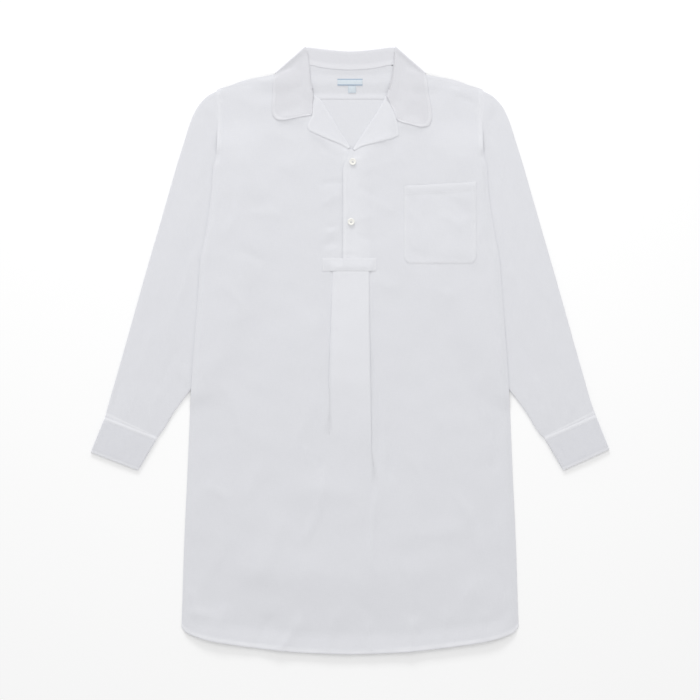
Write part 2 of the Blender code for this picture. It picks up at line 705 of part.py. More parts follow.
def build_button(collection, name, place, beneath):
    bottom = top_at(beneath, place[0], place[1]) + SEAM
    mesh = bpy.data.meshes.new(name)
    bm = bmesh.new()
    made = [bm.verts.new(Vector((point.radius, 0, point.height)) * MM) for point in BUTTON_SECTION]
    for a, b in zip(made, made[1:]):
        bm.edges.new((a, b))
    bm.to_mesh(mesh)
    bm.free()
    button = bpy.data.objects.new(name, mesh)
    button.location = Vector((place[0], place[1], bottom)) * MM
    button.data.materials.append(material(name, BUTTON_COLOUR, 0.3))
    collection.objects.link(button)
    screw = button.modifiers.new("turn", "SCREW")
    screw.steps = BUTTON_STEPS
    screw.render_steps = BUTTON_STEPS
    screw.use_merge_vertices = True
    screw.merge_threshold = 0.00005
    return button


def main():
    for old in list(bpy.data.objects):
        bpy.data.objects.remove(old)
    collection = bpy.data.collections.new("nightshirt")
    bpy.context.scene.collection.children.link(collection)

    build_sleeve(collection, "sleeve_right", CUFFS["right"], -1)
    build_sleeve(collection, "sleeve_left", CUFFS["left"], 1)
    build_cuff(collection, "cuff_right", CUFFS["right"], -1)
    build_cuff(collection, "cuff_left", CUFFS["left"], 1)
    build_back(collection)
    yoke = build_yoke(collection)
    front = build_front(collection)
    beneath = surface_of([front, yoke])
    build_collar(collection, beneath)
    build_lapel(collection, "lapel_right", LAPELS["right"], beneath)
    build_lapel(collection, "lapel_left", LAPELS["left"], beneath)
    build_pocket(collection, beneath)
    build_patch(collection, "placket_tab", TAB, TAB_STEPS, beneath, reach=TAB_REACH)
    build_patch(collection, "label", LABEL, LABEL_STEPS, beneath, LABEL_WALL, LABEL_COLOUR)
    build_patch(collection, "size_tab", SIZE_TAB, SIZE_TAB_STEPS, beneath, LABEL_WALL, LABEL_COLOUR)
    for number, place in enumerate(BUTTONS, start=1):
        build_button(collection, "button_" + str(number), place, beneath)


main()
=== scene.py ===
# Looks of a nightshirt that lies flat with its front up.
# Places and sizes are in millimetres on the garment, and mm turns them into metres.
# X is plus to the wearer's left, Y runs from hem to neck, Z is up from the surface below.

import math
from collections import namedtuple

import bmesh
import bpy
import numpy as np
from mathutils import Matrix, Vector
from mathutils.bvhtree import BVHTree


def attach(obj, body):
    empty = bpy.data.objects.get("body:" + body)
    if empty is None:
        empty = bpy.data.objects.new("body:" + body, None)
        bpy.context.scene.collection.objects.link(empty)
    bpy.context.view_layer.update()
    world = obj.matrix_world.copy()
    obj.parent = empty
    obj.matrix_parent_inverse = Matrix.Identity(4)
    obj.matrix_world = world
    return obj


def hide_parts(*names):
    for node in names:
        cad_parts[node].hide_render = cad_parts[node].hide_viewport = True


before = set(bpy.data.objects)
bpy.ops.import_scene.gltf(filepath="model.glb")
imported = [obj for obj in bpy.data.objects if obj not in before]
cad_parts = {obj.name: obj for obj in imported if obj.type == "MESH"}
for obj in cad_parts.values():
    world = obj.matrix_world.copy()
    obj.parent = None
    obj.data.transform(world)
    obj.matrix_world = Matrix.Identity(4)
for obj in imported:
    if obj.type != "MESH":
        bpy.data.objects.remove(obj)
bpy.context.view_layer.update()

mm = 0.001
pixel = 1.8          # millimetres of the garment that one pixel of the photograph shows

# The solids' walls and gaps, and the thinner cloth that is shown in their place
wall = {
    "solid": 1.2, "collar": 1.5, "cuff": 1.6, "gap": 0.4,
    "cloth": 0.45, "collarCloth": 0.5, "cuffCloth": 0.6, "labelCloth": 0.5,
    "rest": 0.04,    # air between two plies that lie on each other
    "rim": 0.25,     # width of the row of faces along a free edge
}


def smooth(t):
    t = np.clip(t, 0.0, 1.0)
    return t * t * (3.0 - 2.0 * t)


def mix(a, b, t):
    return a + (b - a) * t


def curveThrough(xs, ys, at):
    # A smooth curve through a table's rows that never overshoots them
    xs = np.asarray(xs, float)
    ys = np.asarray(ys, float)
    slopes = np.diff(ys) / np.diff(xs)
    product = slopes[:-1] * slopes[1:]
    total = np.where(product > 0, slopes[:-1] + slopes[1:], 1.0)
    tangents = np.concatenate(([slopes[0]], np.where(product > 0, 2 * product / total, 0.0), [slopes[-1]]))
    at = np.clip(at, xs[0], xs[-1])
    row = np.clip(np.searchsorted(xs, at, side="right") - 1, 0, len(xs) - 2)
    step = xs[row + 1] - xs[row]
    t = (at - xs[row]) / step
    return ((1 + 2 * t) * (1 - t) ** 2 * ys[row] + t * (1 - t) ** 2 * step * tangents[row]
            + t * t * (3 - 2 * t) * ys[row + 1] - t * t * (1 - t) * step * tangents[row + 1])


def spaced(stops, step):
    # Places from the first stop to the last, about a step apart, with every stop among them
    places = [stops[0]]
    for a, b in zip(stops, stops[1:]):
        count = max(1, round(abs(b - a) / step))
        places += [a + (b - a) * k / count for k in range(1, count + 1)]
    return np.array(places)


# The body's cut: the side's half width at each height, the hem's height at each distance from the
# middle, and the edges of the neck opening and the placket
body = {
    "side": [(-498, 303), (-449, 301.5), (-341, 298), (-233, 293), (-161, 290), (-53, 285), (19, 280),
             (91, 274.5), (163, 269), (217, 259), (253, 253.5), (289, 249), (334, 246), (346, 242),
             (370, 238.5), (415, 237.5), (465, 239), (469, 238), (476, 216), (486, 189), (496, 135),
             (509, 84)],
    "hem": [(0, -546.5), (90, -543), (142, -538), (180, -533.5), (216, -528.5), (252, -522),
            (279, -514), (295, -507), (303, -498)],
    "hemFrom": -449.0, "hemSide": -498.0, "hemRun": 97.0, "backHemShorter": 4.0,
    "rightEdge": [(149, 15), (357, 15), (363, 1.5), (388, -14.5), (424, -36), (452, -55), (458, -66),
                  (469, -74), (486, -78.5), (509, -80)],
    "leftEdge": [(149, -12.6), (325, -12.6), (337, -9.5), (348, -5), (357, 0), (363, 5.5), (397, 29),
                 (436, 54), (458, 67), (469, 76), (486, 82), (509, 82.5)],
    "pleatHead": 147.0, "placketFoot": 149.0,
    "lapFrom": 44.0, "lapRamp": 24.0, "lapTop": 365.0, "lapTopRamp": 30.0, "lapRise": 9.0,
    "yokeSeam": 454.0,
    "backNeck": [(0, 506), (40, 508.5), (70, 514), (84, 509), (135, 495.5)],
    "cell": 4.4, "backCell": 8.0,
}

# The way the body lies over the sleeves and the back of the collar, and the air inside it
lie = {
    "overSleeve": 3.2, "ramp": 62.0, "margin": 9.0, "top": 363.0, "topRamp": 56.0,
    "foot": -78.0, "footRamp": 40.0, "underarm": 235.0,
    "overCollar": 1.9, "neckFrom": 458.0, "neckRamp": 26.0, "neckHalf": 145.0, "neckSideRamp": 45.0,
    "loft": 1.4, "loftRamp": 90.0, "loftTop": 515.0, "loftTopRamp": 70.0,
}

# Sleeve cross lines from the armhole to the cuff: outer x and y, then inner x and y
sleeve = {
    "cross": [(239.3, 467, 205, 244), (246.5, 463, 201.5, 221), (255.5, 458, 199, 199),
              (270, 443.5, 198, 177), (279, 429, 200, 155), (288, 407.5, 205, 130),
              (297, 378.5, 212.5, 103), (309.5, 339, 223, 69), (324, 288.5, 239.5, 27.5),
              (341.5, 227.5, 259, -19), (363.5, 152, 281, -62.5), (383.5, 81.5, 302.5, -91),
              (403, 11.5, 320.5, -116.5), (419.5, -46, 333, -138), (432, -89.5, 342, -150.5)],
    "armholeTo": 354.0, "armholeTop": 465.0, "armholeRows": 5, "seam": 0.3,
    "length": 640.0, "solid": wall["solid"], "cloth": wall["cloth"], "rumple": 0.22,
    "loft": 1.3, "loftClear": 10.0, "loftRamp": 45.0, "tuck": 2.0, "startDip": 0.45, "cuffDip": 0.7,
    "under": [(300, 240, 330, 120, 14, 0.4, 6), (340, 60, 370, -40, 14, 0.4, -6),
              (360, -60, 384, -120, 9, 0.4, 2)],
    "cell": 4.6,
}

cuffs = {
    "right": {"seam": ((441, -122), (347.5, -158)), "edge": ((466, -183), (381.5, -215.5))},
    "left": {"seam": ((442, -118), (350, -158)), "edge": ((466, -178), (384, -215.5))},
    "length": 62.0, "solid": wall["cuff"], "cloth": wall["cuffCloth"], "rumple": 0.22,
    "overSleeve": 0.05, "loft": 0.4, "startDip": 0.25, "openDip": 0.5,
    "seamLines": [(3.0, 1.8, 0.3), (8.5, 1.6, -0.2)],
    "creases": [(400, -150, 420, -190, 9, 0.35, 2), (372, -172, 388, -200, 7, -0.3, 1),
                (440, -140, 448, -170, 6, -0.25, 0)],
    "under": [],
}


def column(table, number):
    return [row[number] for row in table]


def readTable(table, at, by=0, number=1):
    # One column of a table, read along another one
    return curveThrough(column(table, by), column(table, number), at)


def halfWidth(y):
    return readTable(body["side"], y)


def hemHeight(x):
    return readTable(body["hem"], np.abs(x))


def sleeveLines(cuff):
    return sleeve["cross"] + [cuff["seam"][0] + cuff["seam"][1]]


def sleeveInner(y):
    lines = sorted(sleeveLines(cuffs["left"]), key=lambda line: line[3])
    return readTable(lines, y, by=3, number=2)


def liftAt(x, y):
    # How high the body's underside is, over the sleeves and over the fall behind the neck
    beyond = np.abs(x) - sleeveInner(np.minimum(y, lie["underarm"])) + lie["margin"]
    over = smooth(1 + beyond / lie["ramp"])
    over = over * smooth(1 + (lie["top"] - y) / lie["topRamp"])
    over = over * smooth(1 + (y - lie["foot"]) / lie["footRamp"])
    near = smooth((y - lie["neckFrom"]) / lie["neckRamp"])
    near = near * smooth(1 + (lie["neckHalf"] - np.abs(x)) / lie["neckSideRamp"])
    return lie["overSleeve"] * over + lie["overCollar"] * near


def frontTop(x, y):
    # The upper face of the front's solid
    loft = smooth((halfWidth(y) - np.abs(x)) / lie["loftRamp"])
    loft = loft * smooth((lie["loftTop"] - y) / lie["loftTopRamp"])
    loft = loft * smooth((y - hemHeight(x)) / lie["loftRamp"])
    return liftAt(x, y) + 2 * wall["solid"] + wall["gap"] + lie["loft"] * loft


def sideDistance(x, y):
    # How far a point is from the side seam, armhole or shoulder, square to it
    slope = (halfWidth(y + 1.0) - halfWidth(y - 1.0)) / 2.0
    return (halfWidth(y) - np.abs(x)) / np.sqrt(1.0 + slope * slope)


# A crease runs from one place to another, bowed to its left by some way. It is so wide and so
# high, and one with a minus height is a trough.
Crease = namedtuple("crease", "startX startY endX endY width height bow")


def creased(x, y, rows):
    # The sum of soft ridges and troughs that fade out at their ends
    total = np.zeros_like(x)
    for row in rows:
        crease = Crease(*row)
        length = math.hypot(crease.endX - crease.startX, crease.endY - crease.startY)
        alongX = (crease.endX - crease.startX) / length
        alongY = (crease.endY - crease.startY) / length
        along = ((x - crease.startX) * alongX + (y - crease.startY) * alongY) / length
        across = (y - crease.startY) * alongX - (x - crease.startX) * alongY
        across = across - crease.bow * 4 * along * (1 - along)
        fade = smooth((along + 0.18) / 0.36) * smooth((1.18 - along) / 0.36)
        wander = crease.width * (1 + 0.25 * np.sin(5.0 * along + crease.startX))
        total = total + crease.height * fade / (1 + (across / wander) ** 2) ** 2
    return total


def rumpled(x, y, amount, seed):
    # Broad, shallow unevenness of cloth that has been laid down by hand
    lengths = (310.0, 190.0, 121.0, 83.0, 57.0)
    waves = np.zeros_like(x)
    for k, length in enumerate(lengths):
        turn = seed * 1.7 + k * 2.39
        a = np.cos(turn) * x + np.sin(turn) * y
        b = -np.sin(turn) * x + np.cos(turn) * y
        wave = np.sin(a / length * 6.28 + seed + 1.3 * np.sin(b / length * 4.1 + k))
        waves = waves + wave * (length / lengths[0]) ** 0.8
    return amount * waves / 2.0


def edgeRoll(distance, reach, depth):
    # How far an edge rolls down towards the ply below, at a distance from it
    return depth * np.clip(1.0 - distance / reach, 0.0, 1.0) ** 2.4


def strip(distance, start, end, soft=1.5):
    # 1 between two distances from an edge, fading out over a soft border
    return smooth((distance - start) / soft + 0.5) * smooth((end - distance) / soft + 0.5)


def tonedStrip(distance, values):
    # A strip with more plies and a painted highlight: its share of the tone, its two edges and its border's
    # softness
    return values[0] * strip(distance, *values[1:])


def pressedEdge(distance):
    # The share of the thickness that is left beside an edge that has been pressed flat
    return mix(0.2, 1.0, smooth(distance / 4.5))


def seamLines(distance, rows):
    # Low ridges and troughs along an edge: how far from it, how wide and how high each one is
    return sum(height / (1.0 + ((distance - place) / width) ** 2) ** 2 for place, width, height in rows)


# Shared node groups: each turns a place on the surface into one value that varies over it
def newGroup(name, scaleName, scale, output):
    group = bpy.data.node_groups.new(name, "ShaderNodeTree")
    group.interface.new_socket(name="Vector", in_out="INPUT", socket_type="NodeSocketVector")
    scaleSocket = group.interface.new_socket(name=scaleName, in_out="INPUT", socket_type="NodeSocketFloat")
    scaleSocket.default_value = scale
    group.interface.new_socket(name=output, in_out="OUTPUT", socket_type="NodeSocketFloat")
    start = group.nodes.new("NodeGroupInput")
    end = group.nodes.new("NodeGroupOutput")
    return group, start.outputs["Vector"], start.outputs[scaleName], end.inputs[output]


def addNode(tree, kind, values, links):
    # A node with some inputs set by name, and others linked to the outputs of earlier nodes
    node = tree.nodes.new(kind)
    for label, value in values.items():
        node.inputs[label].default_value = value
    for label, source in links.items():
        tree.links.new(source, node.inputs[label])
    return node


def addMath(tree, operation, first, second=None):
    node = tree.nodes.new("ShaderNodeMath")
    node.operation = operation
    for socket, value in zip(node.inputs, (first, second)):
        if isinstance(value, bpy.types.NodeSocket):
            tree.links.new(value, socket)
        elif value is not None:
            socket.default_value = value
    return node.outputs[0]


def addColourMix(tree, share, first, second):
    # Two colours mixed by a share, each a fixed colour or another node's output
    node = tree.nodes.new("ShaderNodeMix")
    node.data_type = "RGBA"
    tree.links.new(share, node.inputs[0])
    for socket, colour in zip(node.inputs[6:8], (first, second)):
        if isinstance(colour, tuple):
            socket.default_value = colour + (1.0,)
        else:
            tree.links.new(colour, socket)
    return node.outputs[2]


def addGroup(tree, group, surface, scaleName, scale):
    node = tree.nodes.new("ShaderNodeGroup")
    node.node_tree = group
    node.inputs[scaleName].default_value = scale
    tree.links.new(surface, node.inputs["Vector"])
    return node.outputs[0]


def makeWeaveGroup():
    # Plain weave: threads that cross over and under each other
    group, place, threads, height = newGroup("plainWeave", "Threads", 2200.0, "Height")
    parts = addNode(group, "ShaderNodeSeparateXYZ", {}, {"Vector": place})
    waves = []
    for axis in ("X", "Y"):
        turns = addMath(group, "MULTIPLY", parts.outputs[axis], threads)
        waves.append(addMath(group, "SINE", addMath(group, "MULTIPLY", turns, math.pi)))
    crossing = addMath(group, "MULTIPLY", waves[0], waves[1])
    group.links.new(addMath(group, "ABSOLUTE", crossing), height)
    return group


def makeSlubGroup():
    # Thicker and thinner threads in both directions, as a soft tone
    group, place, scale, tone = newGroup("slub", "Scale", 60.0, "Tone")
    tones = []
    for stretch in ((1.0, 14.0, 1.0), (14.0, 1.0, 1.0)):
        mapping = addNode(group, "ShaderNodeMapping", {"Scale": stretch}, {"Vector": place})
        links = {"Vector": mapping.outputs["Vector"], "Scale": scale}
        tones.append(addNode(group, "ShaderNodeTexNoise", {"Detail": 3.0}, links).outputs["Fac"])
    total = addMath(group, "ADD", tones[0], tones[1])
    group.links.new(addMath(group, "MULTIPLY", total, 0.5), tone)
    return group


def makeDentGroup():
    # Small soft dents that pressed cotton keeps
    group, place, scale, height = newGroup("softDents", "Scale", 30.0, "Height")
    values = {"Detail": 2.0, "Roughness": 0.45}
    noise = addNode(group, "ShaderNodeTexNoise", values, {"Vector": place, "Scale": scale})
    group.links.new(noise.outputs["Fac"], height)
    return group


weaveGroup = makeWeaveGroup()
slubGroup = makeSlubGroup()
dentGroup = makeDentGroup()

# Each finish's third colour is mixed in by the plies value: on cotton it shows extra plies and is partly a
# painted highlight on ridges, folds and edges, on the label weave it is the blue border
finishes = {
    "cotton": {"dark": (0.709, 0.715, 0.749), "light": (0.729, 0.735, 0.769), "plies": (0.80, 0.806, 0.838),
               "rough": 0.88, "sheen": 0.1, "threads": 2200.0, "weave": 0.00004, "dents": 0.00025,
               "slub": 70.0},
    "collarCotton": {"dark": (0.674, 0.676, 0.708), "light": (0.696, 0.697, 0.730),
                     "plies": (0.785, 0.788, 0.82), "rough": 0.85, "sheen": 0.1, "threads": 2200.0,
                     "weave": 0.00004, "dents": 0.00015, "slub": 80.0},
    # A darker copy of cotton for the cuffs: painted shade
    "shadedCuffCotton": {"dark": (0.680, 0.686, 0.722), "light": (0.702, 0.708, 0.744),
                   "plies": (0.79, 0.796, 0.828), "rough": 0.88, "sheen": 0.1, "threads": 2200.0,
                   "weave": 0.00004, "dents": 0.0002, "slub": 70.0},
    "labelWeave": {"dark": (0.60, 0.67, 0.73), "light": (0.69, 0.75, 0.80), "plies": (0.30, 0.39, 0.52),
                   "rough": 0.6, "sheen": 0.05, "threads": 3200.0, "weave": 0.00004, "dents": 0.0,
                   "slub": 160.0},
    "thread": {"dark": (0.77, 0.775, 0.80), "light": (0.83, 0.835, 0.855), "plies": (0.83, 0.835, 0.855),
               "rough": 0.6, "sheen": 0.1, "threads": 5200.0, "weave": 0.00003, "dents": 0.0, "slub": 300.0},
}


def newMaterial(name, values):
    made = bpy.data.materials.new(name)
    made.use_nodes = True
    shader = made.node_tree.nodes["Principled BSDF"]
    for label, value in values.items():
        shader.inputs[label].default_value = value
    return made, made.node_tree, shader


def clothMaterial(name, values):
    # Where more plies lie on each other, as at hems and seams, less light goes through the cloth, so the
    # colour is mixed towards a lighter one; this mix is also a painted highlight where ridges, folds and
    # edges catch the light, and on labels it gives their blue border
    made, tree, shader = newMaterial(name, {
        "Roughness": values["rough"], "Sheen Weight": values["sheen"], "Sheen Roughness": 0.5,
        "Specular IOR Level": 0.2, "Subsurface Weight": 0.1, "Subsurface Radius": (1.0, 1.0, 1.0),
        "Subsurface Scale": 0.0015})
    surface = tree.nodes.new("ShaderNodeTexCoord").outputs["UV"]

    slub = addGroup(tree, slubGroup, surface, "Scale", values["slub"])
    tone = addNode(tree, "ShaderNodeMapRange", {"From Min": 0.35, "From Max": 0.65}, {"Value": slub})
    colour = addColourMix(tree, tone.outputs["Result"], values["dark"], values["light"])
    plies = tree.nodes.new("ShaderNodeAttribute")
    plies.attribute_name = "plies"
    # Painted highlight, with extra plies: the colour turns lighter by the plies value
    pliedAndHighlighted = addColourMix(tree, plies.outputs["Fac"], colour, values["plies"])
    tree.links.new(pliedAndHighlighted, shader.inputs["Base Color"])

    weave = addGroup(tree, weaveGroup, surface, "Threads", values["threads"])
    fine = addNode(tree, "ShaderNodeBump", {"Distance": values["weave"], "Strength": 0.6}, {"Height": weave})
    if values["dents"]:
        dents = addGroup(tree, dentGroup, surface, "Scale", 30.0)
        broad = addNode(tree, "ShaderNodeBump", {"Distance": values["dents"]}, {"Height": dents})
        tree.links.new(broad.outputs["Normal"], fine.inputs["Normal"])
    tree.links.new(fine.outputs["Normal"], shader.inputs["Normal"])
    return made


cotton = clothMaterial("whiteCotton", finishes["cotton"])
collarCotton = clothMaterial("collarCotton", finishes["collarCotton"])
shadedCuffCotton = clothMaterial("shadedCuffCotton", finishes["shadedCuffCotton"])
labelWeave = clothMaterial("labelWeave", finishes["labelWeave"])
sewingThread = clothMaterial("sewingThread", finishes["thread"])
print("materials made")


# Pieces are grids whose points are laid where the cut puts them
rims = {"bottom": 0, "right": 1, "top": 2, "left": 3}


def rimmed(layers, side):
    # A narrow row beside a free edge, so the cloth stays smooth up to its edge
    turned = [np.rot90(layer, rims[side]) for layer in layers]
    reach = np.hypot(turned[0][1] - turned[0][0], turned[1][1] - turned[1][0])
    share = np.clip(wall["rim"] / np.maximum(reach, wall["rim"]), 0.0, 0.5)
    grown = [np.insert(layer, 1, mix(layer[0], layer[1], share), axis=0) for layer in turned]
    return [np.rot90(layer, -rims[side]) for layer in grown]


def addPatch(bm, x, y, z, plies=0.0, u=None, v=None, free=(), thick=1.0):
    u = x if u is None else u
    v = y if v is None else v
    layers = [x, y, z, plies + np.zeros_like(x), thick + np.zeros_like(x), u, v]
    for side in free:
        layers = rimmed(layers, side)
    rows, columns = layers[0].shape
    uvLayer = bm.loops.layers.uv.verify()
    # Per point: extra plies with a painted highlight, or a label's border, for the material's colour mix
    pliesHighlightAndPrintLayer = bm.verts.layers.float.get("plies") or bm.verts.layers.float.new("plies")
    deform = bm.verts.layers.deform.verify()
    made = bmesh.ops.create_grid(bm, x_segments=columns - 1, y_segments=rows - 1, size=0.5, calc_uvs=True)
    for vert, px, py, pz, ply, share, pu, pv in zip(made["verts"], *(layer.flat for layer in layers)):
        vert.co = (px * mm, py * mm, pz * mm)
        vert[pliesHighlightAndPrintLayer] = ply
        vert[deform][0] = share
        for loop in vert.link_loops:
            loop[uvLayer].uv = (pu * mm, pv * mm)


def addObject(name, bm, finish):
    mesh = bpy.data.meshes.new(name)
    bm.to_mesh(mesh)
    bm.free()
    mesh.shade_smooth()
    mesh.materials.append(finish)
    made = bpy.data.objects.new(name, mesh)
    bpy.context.scene.collection.objects.link(made)
    return made


def finishCloth(bm, name, finish, thickness):
    bmesh.ops.remove_doubles(bm, verts=bm.verts, dist=0.02 * mm)
    bmesh.ops.recalc_face_normals(bm, faces=bm.faces)
    piece = addObject(name, bm, finish)
    piece.vertex_groups.new(name="thick")
    solidify = piece.modifiers.new("ply", "SOLIDIFY")
    solidify.vertex_group = "thick"
    solidify.thickness = thickness * mm
    solidify.offset = 0.0
    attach(piece, "root")
    return piece


def standFor(node):
    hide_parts(node)


def surfaceOf(pieces):
    bm = bmesh.new()
    graph = bpy.context.evaluated_depsgraph_get()
    for piece in pieces:
        bm.from_mesh(piece.evaluated_get(graph).to_mesh())
        piece.evaluated_get(graph).to_mesh_clear()
    tree = BVHTree.FromBMesh(bm)
    bm.free()
    return tree


down = Vector((0.0, 0.0, -1.0))


def topAt(tree, x, y, reach=2.0):
    # The highest point under small patches round each place
    found = np.zeros(x.shape)
    flat = found.reshape(-1)
    for i, (px, py) in enumerate(zip(x.flat, y.flat)):
        for dx, dy in ((0, 0), (reach, 0), (-reach, 0), (0, reach), (0, -reach)):
            hit = tree.ray_cast(Vector(((px + dx) * mm, (py + dy) * mm, 0.1)), down)[0]
            if hit and hit.z / mm > flat[i]:
                flat[i] = hit.z / mm
    return flat.reshape(x.shape)


# Front
front = {
    "folds": [(-290, -40, 46, 0.8), (-233, -39, 45, 2.0), (-161, -38.5, 38.5, 6.0), (-53, -37.5, 37, 10.0),
              (55, -34, 35, 13.0), (147, -30.5, 34.5, 15.0)],    # height, both folds, cloth folded in
    "opening": {-1: (-45.0, -190.0), 1: (-150.0, -275.0)},       # height where it starts and ends
    "pitch": 0.9, "foldSteps": 6, "spread": 16.0, "headShare": 0.62, "headRamp": 70.0,
    "sideRoll": 13.0, "sideDrop": 3.4, "armholeDrop": 0.3, "armholeOver": 1.0,
    "armholeFoot": 350.0, "armholeFootRamp": 14.0, "armholeTop": 472.0, "armholeTopRamp": 8.0,
    "shoulderFrom": 466.0, "shoulderRun": 8.0, "shoulderDrop": 0.4, "overBack": 0.15,
    "armholeLines": [(4.5, 3.2, 0.5), (10.5, 2.5, -0.3)],
    "hemWidth": 6.5, "hemLift": 3.6, "hemLiftReach": 40.0, "hemLines": [(4.0, 2.6, 0.4), (9.5, 1.8, -0.25)],
    "placketLift": 0.7, "placketReach": 14.0, "openingFoot": 380.0, "openingReach": 48.0, "rumple": 0.7,
    # Painted highlight, with extra plies, along the armhole seam, placket, pleat box and pleat head: share of
    # the lighter tone, then where it runs
    "armholePliesAndHighlight": (0.3, 1.0, 8.5, 3.0),
    "placketPliesAndHighlight": (0.2, -13.0, -7.0), "placketRun": (166.0, 350.0, 8.0),
    "boxPliesAndHighlight": (0.42, -33.0, 36.0, 3.0), "boxRun": (-100.0, 170.0, 140.0),
    "headPliesAndHighlight": (0.5, -31.0, 34.0, 3.0), "headRun": (138.5, 150.0, 1.0),
    "creases": [
        # left of the placket
        (-52, 298, -12, 301, 7, -0.9, 2), (-46, 262, -18, 281, 10, 1.0, 2), (-46, 188, -24, 195, 7, -0.8, 2),
        (-44, 172, -18, 186, 5, 0.8, 1), (-48, 160, -20, 174, 4, 0.6, 0), (-46, 224, -28, 221, 6, -0.7, 0),
        (-40, 210, -22, 214, 6, 0.6, 1), (-16, 168, 14, 171, 4, -0.6, 1), (-22, 176, 0, 180, 4, 0.5, 1),
        # chest
        (-198, 350, -162, 272, 26, 0.9, 6), (-184, 246, -126, 244, 9, 0.5, 2),
        (-206, 180, -158, 158, 14, -0.8, 4), (-150, 392, -96, 372, 16, 0.5, 4),
        (-200, 300, -218, 210, 14, 0.8, 6), (-120, 330, -70, 350, 18, 0.6, -5),
        (-230, 120, -190, 60, 18, 0.8, 6), (-120, 110, -70, 70, 20, -0.6, 4),
        (150, 372, 210, 345, 18, 0.7, -6), (205, 260, 236, 180, 12, -0.7, 5),
        (240, 232, 222, 150, 11, 0.8, -4), (120, 130, 190, 96, 18, 0.7, -4),
        (40, 130, 90, 112, 16, 0.6, -4), (60, 330, 96, 350, 14, 0.5, 4), (52, 268, 78, 250, 12, 0.5, -3),
        # shoulder tips
        (-244, 466, -226, 458, 4, 0.7, 1), (-246, 456, -228, 449, 3, -0.6, 1),
        (-240, 447, -226, 443, 3, 0.5, 0),
        (184, 470, 236, 452, 5, 0.7, -3), (196, 458, 222, 448, 4, -0.7, -2), (226, 446, 236, 440, 3, 0.5, 0),
        (-170, 478, -130, 486, 9, 0.6, 3), (-196, 452, -140, 440, 12, 0.5, -4),
        # beside the pleat
        (40, 96, 41, -60, 5, -0.9, 1), (41, -30, 50, -210, 9, -1.4, 4), (-44, 130, -41, 0, 7, -0.6, 1),
        (62, 60, 70, -90, 16, 0.6, 5), (-62, 60, -66, -70, 15, 0.6, -5),
        # lower sides
        (-58, -89, -45, -143, 6, 1.0, 2), (-50, -216, -82, -340, 13, 1.4, 10),
        (-81, -172, -76, -202, 4, 0.8, 0), (-54, -197, -52, -244, 5, -0.9, 0),
        (52, -250, 40, -392, 11, 1.3, -6), (72, -143, 70, -234, 9, -1.2, 3),
        (192, -262, 236, -380, 16, 1.2, 8), (-262, -246, -216, -268, 15, 0.9, 3),
        (-150, -150, -190, -270, 22, 0.9, 10), (130, -20, 168, -140, 20, 0.9, -8),
        (-232, -60, -196, -150, 18, 0.9, 6), (232, -40, 250, -130, 13, 0.9, -6),
        (262, -150, 258, -215, 9, -1.0, 2), (110, -190, 140, -290, 18, 0.8, 6),
        (-118, -300, -150, -420, 20, 1.0, -8), (-230, -330, -262, -420, 18, 0.9, 6),
        (262, -300, 276, -400, 12, 0.8, 4), (-60, -60, -110, -190, 16, 0.7, 7),
        # at the lower edges of the collar and lapels
        (-128, 415, -82, 420, 12, 1.7, 0), (130, 401, 92, 409, 12, 1.7, 0),
        (-72, 394, -14, 369, 11, 1.4, -3), (78, 383, 18, 365, 11, 1.4, 2),
        # under the lapels and beside the buttons
        (6, 350, 62, 372, 9, -1.0, 3), (-54, 366, -10, 348, 8, -0.6, -2), (20, 318, 50, 332, 9, 0.5, 2),
        (16, 292, 42, 276, 8, -0.5, 2), (18, 236, 44, 246, 8, 0.5, -2), (16, 204, 40, 196, 7, -0.5, 1),
        # broad swells above the hem
        (-190, -392, 170, -398, 58, 3.2, -10), (-292, -470, -228, -492, 20, 1.4, 3),
        (200, -440, 290, -452, 38, 1.0, 4), (-120, -250, 20, -262, 36, 1.4, 5),
        (90, -330, 220, -318, 34, 1.2, -5),
        # hem
        (-136, -548, -92, -486, 13, 1.6, -3), (-172, -542, -140, -480, 12, -1.2, 3),
        (-188, -480, -128, -384, 28, -0.8, 4), (110, -548, 116, -484, 7, 1.4, 1),
        (84, -390, 112, -484, 15, -0.9, 3), (4, -446, 84, -540, 26, -1.0, 6),
        (-290, -430, -272, -490, 10, 1.0, 2), (274, -424, 284, -476, 9, -0.7, 1),
        (196, -500, 226, -410, 18, 0.6, 4), (-40, -545, -20, -470, 12, 0.9, 3),
        (40, -545, 34, -490, 8, 0.9, 2), (160, -540, 172, -470, 10, 0.8, -2),
        (-230, -528, -226, -460, 10, 0.9, 3), (248, -520, 244, -470, 9, 0.8, 2),
    ],
}


def foldSection(depth):
    # One fold of the pleat, from the top of the box outwards and down to the panel
    pitch = front["pitch"]
    radius = pitch / 2
    angles = np.linspace(0.0, math.pi, front["foldSteps"] + 1)
    out = np.concatenate((radius * (np.sin(angles) - 1), -radius * (1 + np.sin(angles)) - depth))
    drop = radius * (1 - np.cos(angles))
    height = np.concatenate((2 * pitch - drop, pitch - drop))
    return out, height


def pleatOpening(y, side):
    # 0 where the fold lies folded, 1 where its cloth lies open
    foldedTo, goneAt = front["opening"][side]
    return 1.0 - smooth((y - goneAt) / (foldedTo - goneAt))


def pleatRow(y, side):
    # Places and heights over the panel, from the box top outwards
    line = readTable(front["folds"], y, number=2 if side > 0 else 1)
    out, height = foldSection(readTable(front["folds"], y, number=3))
    opening = pleatOpening(y, side)
    height = height * (1.0 - opening) ** 4
    height = height * mix(front["headShare"], 1.0, smooth((body["pleatHead"] - y) / front["headRamp"]))
    flat = front["spread"] * (np.linspace(0.0, 1.0, len(out)) - 0.5)
    return line + side * mix(out, flat, opening), height


def foldThickness(y, side):
    # Thinner while a fold opens, so its line fades out
    opening = pleatOpening(y, side)
    return 1.0 - 0.88 * smooth(opening / 0.12) * smooth((1.0 - opening) / 0.4)


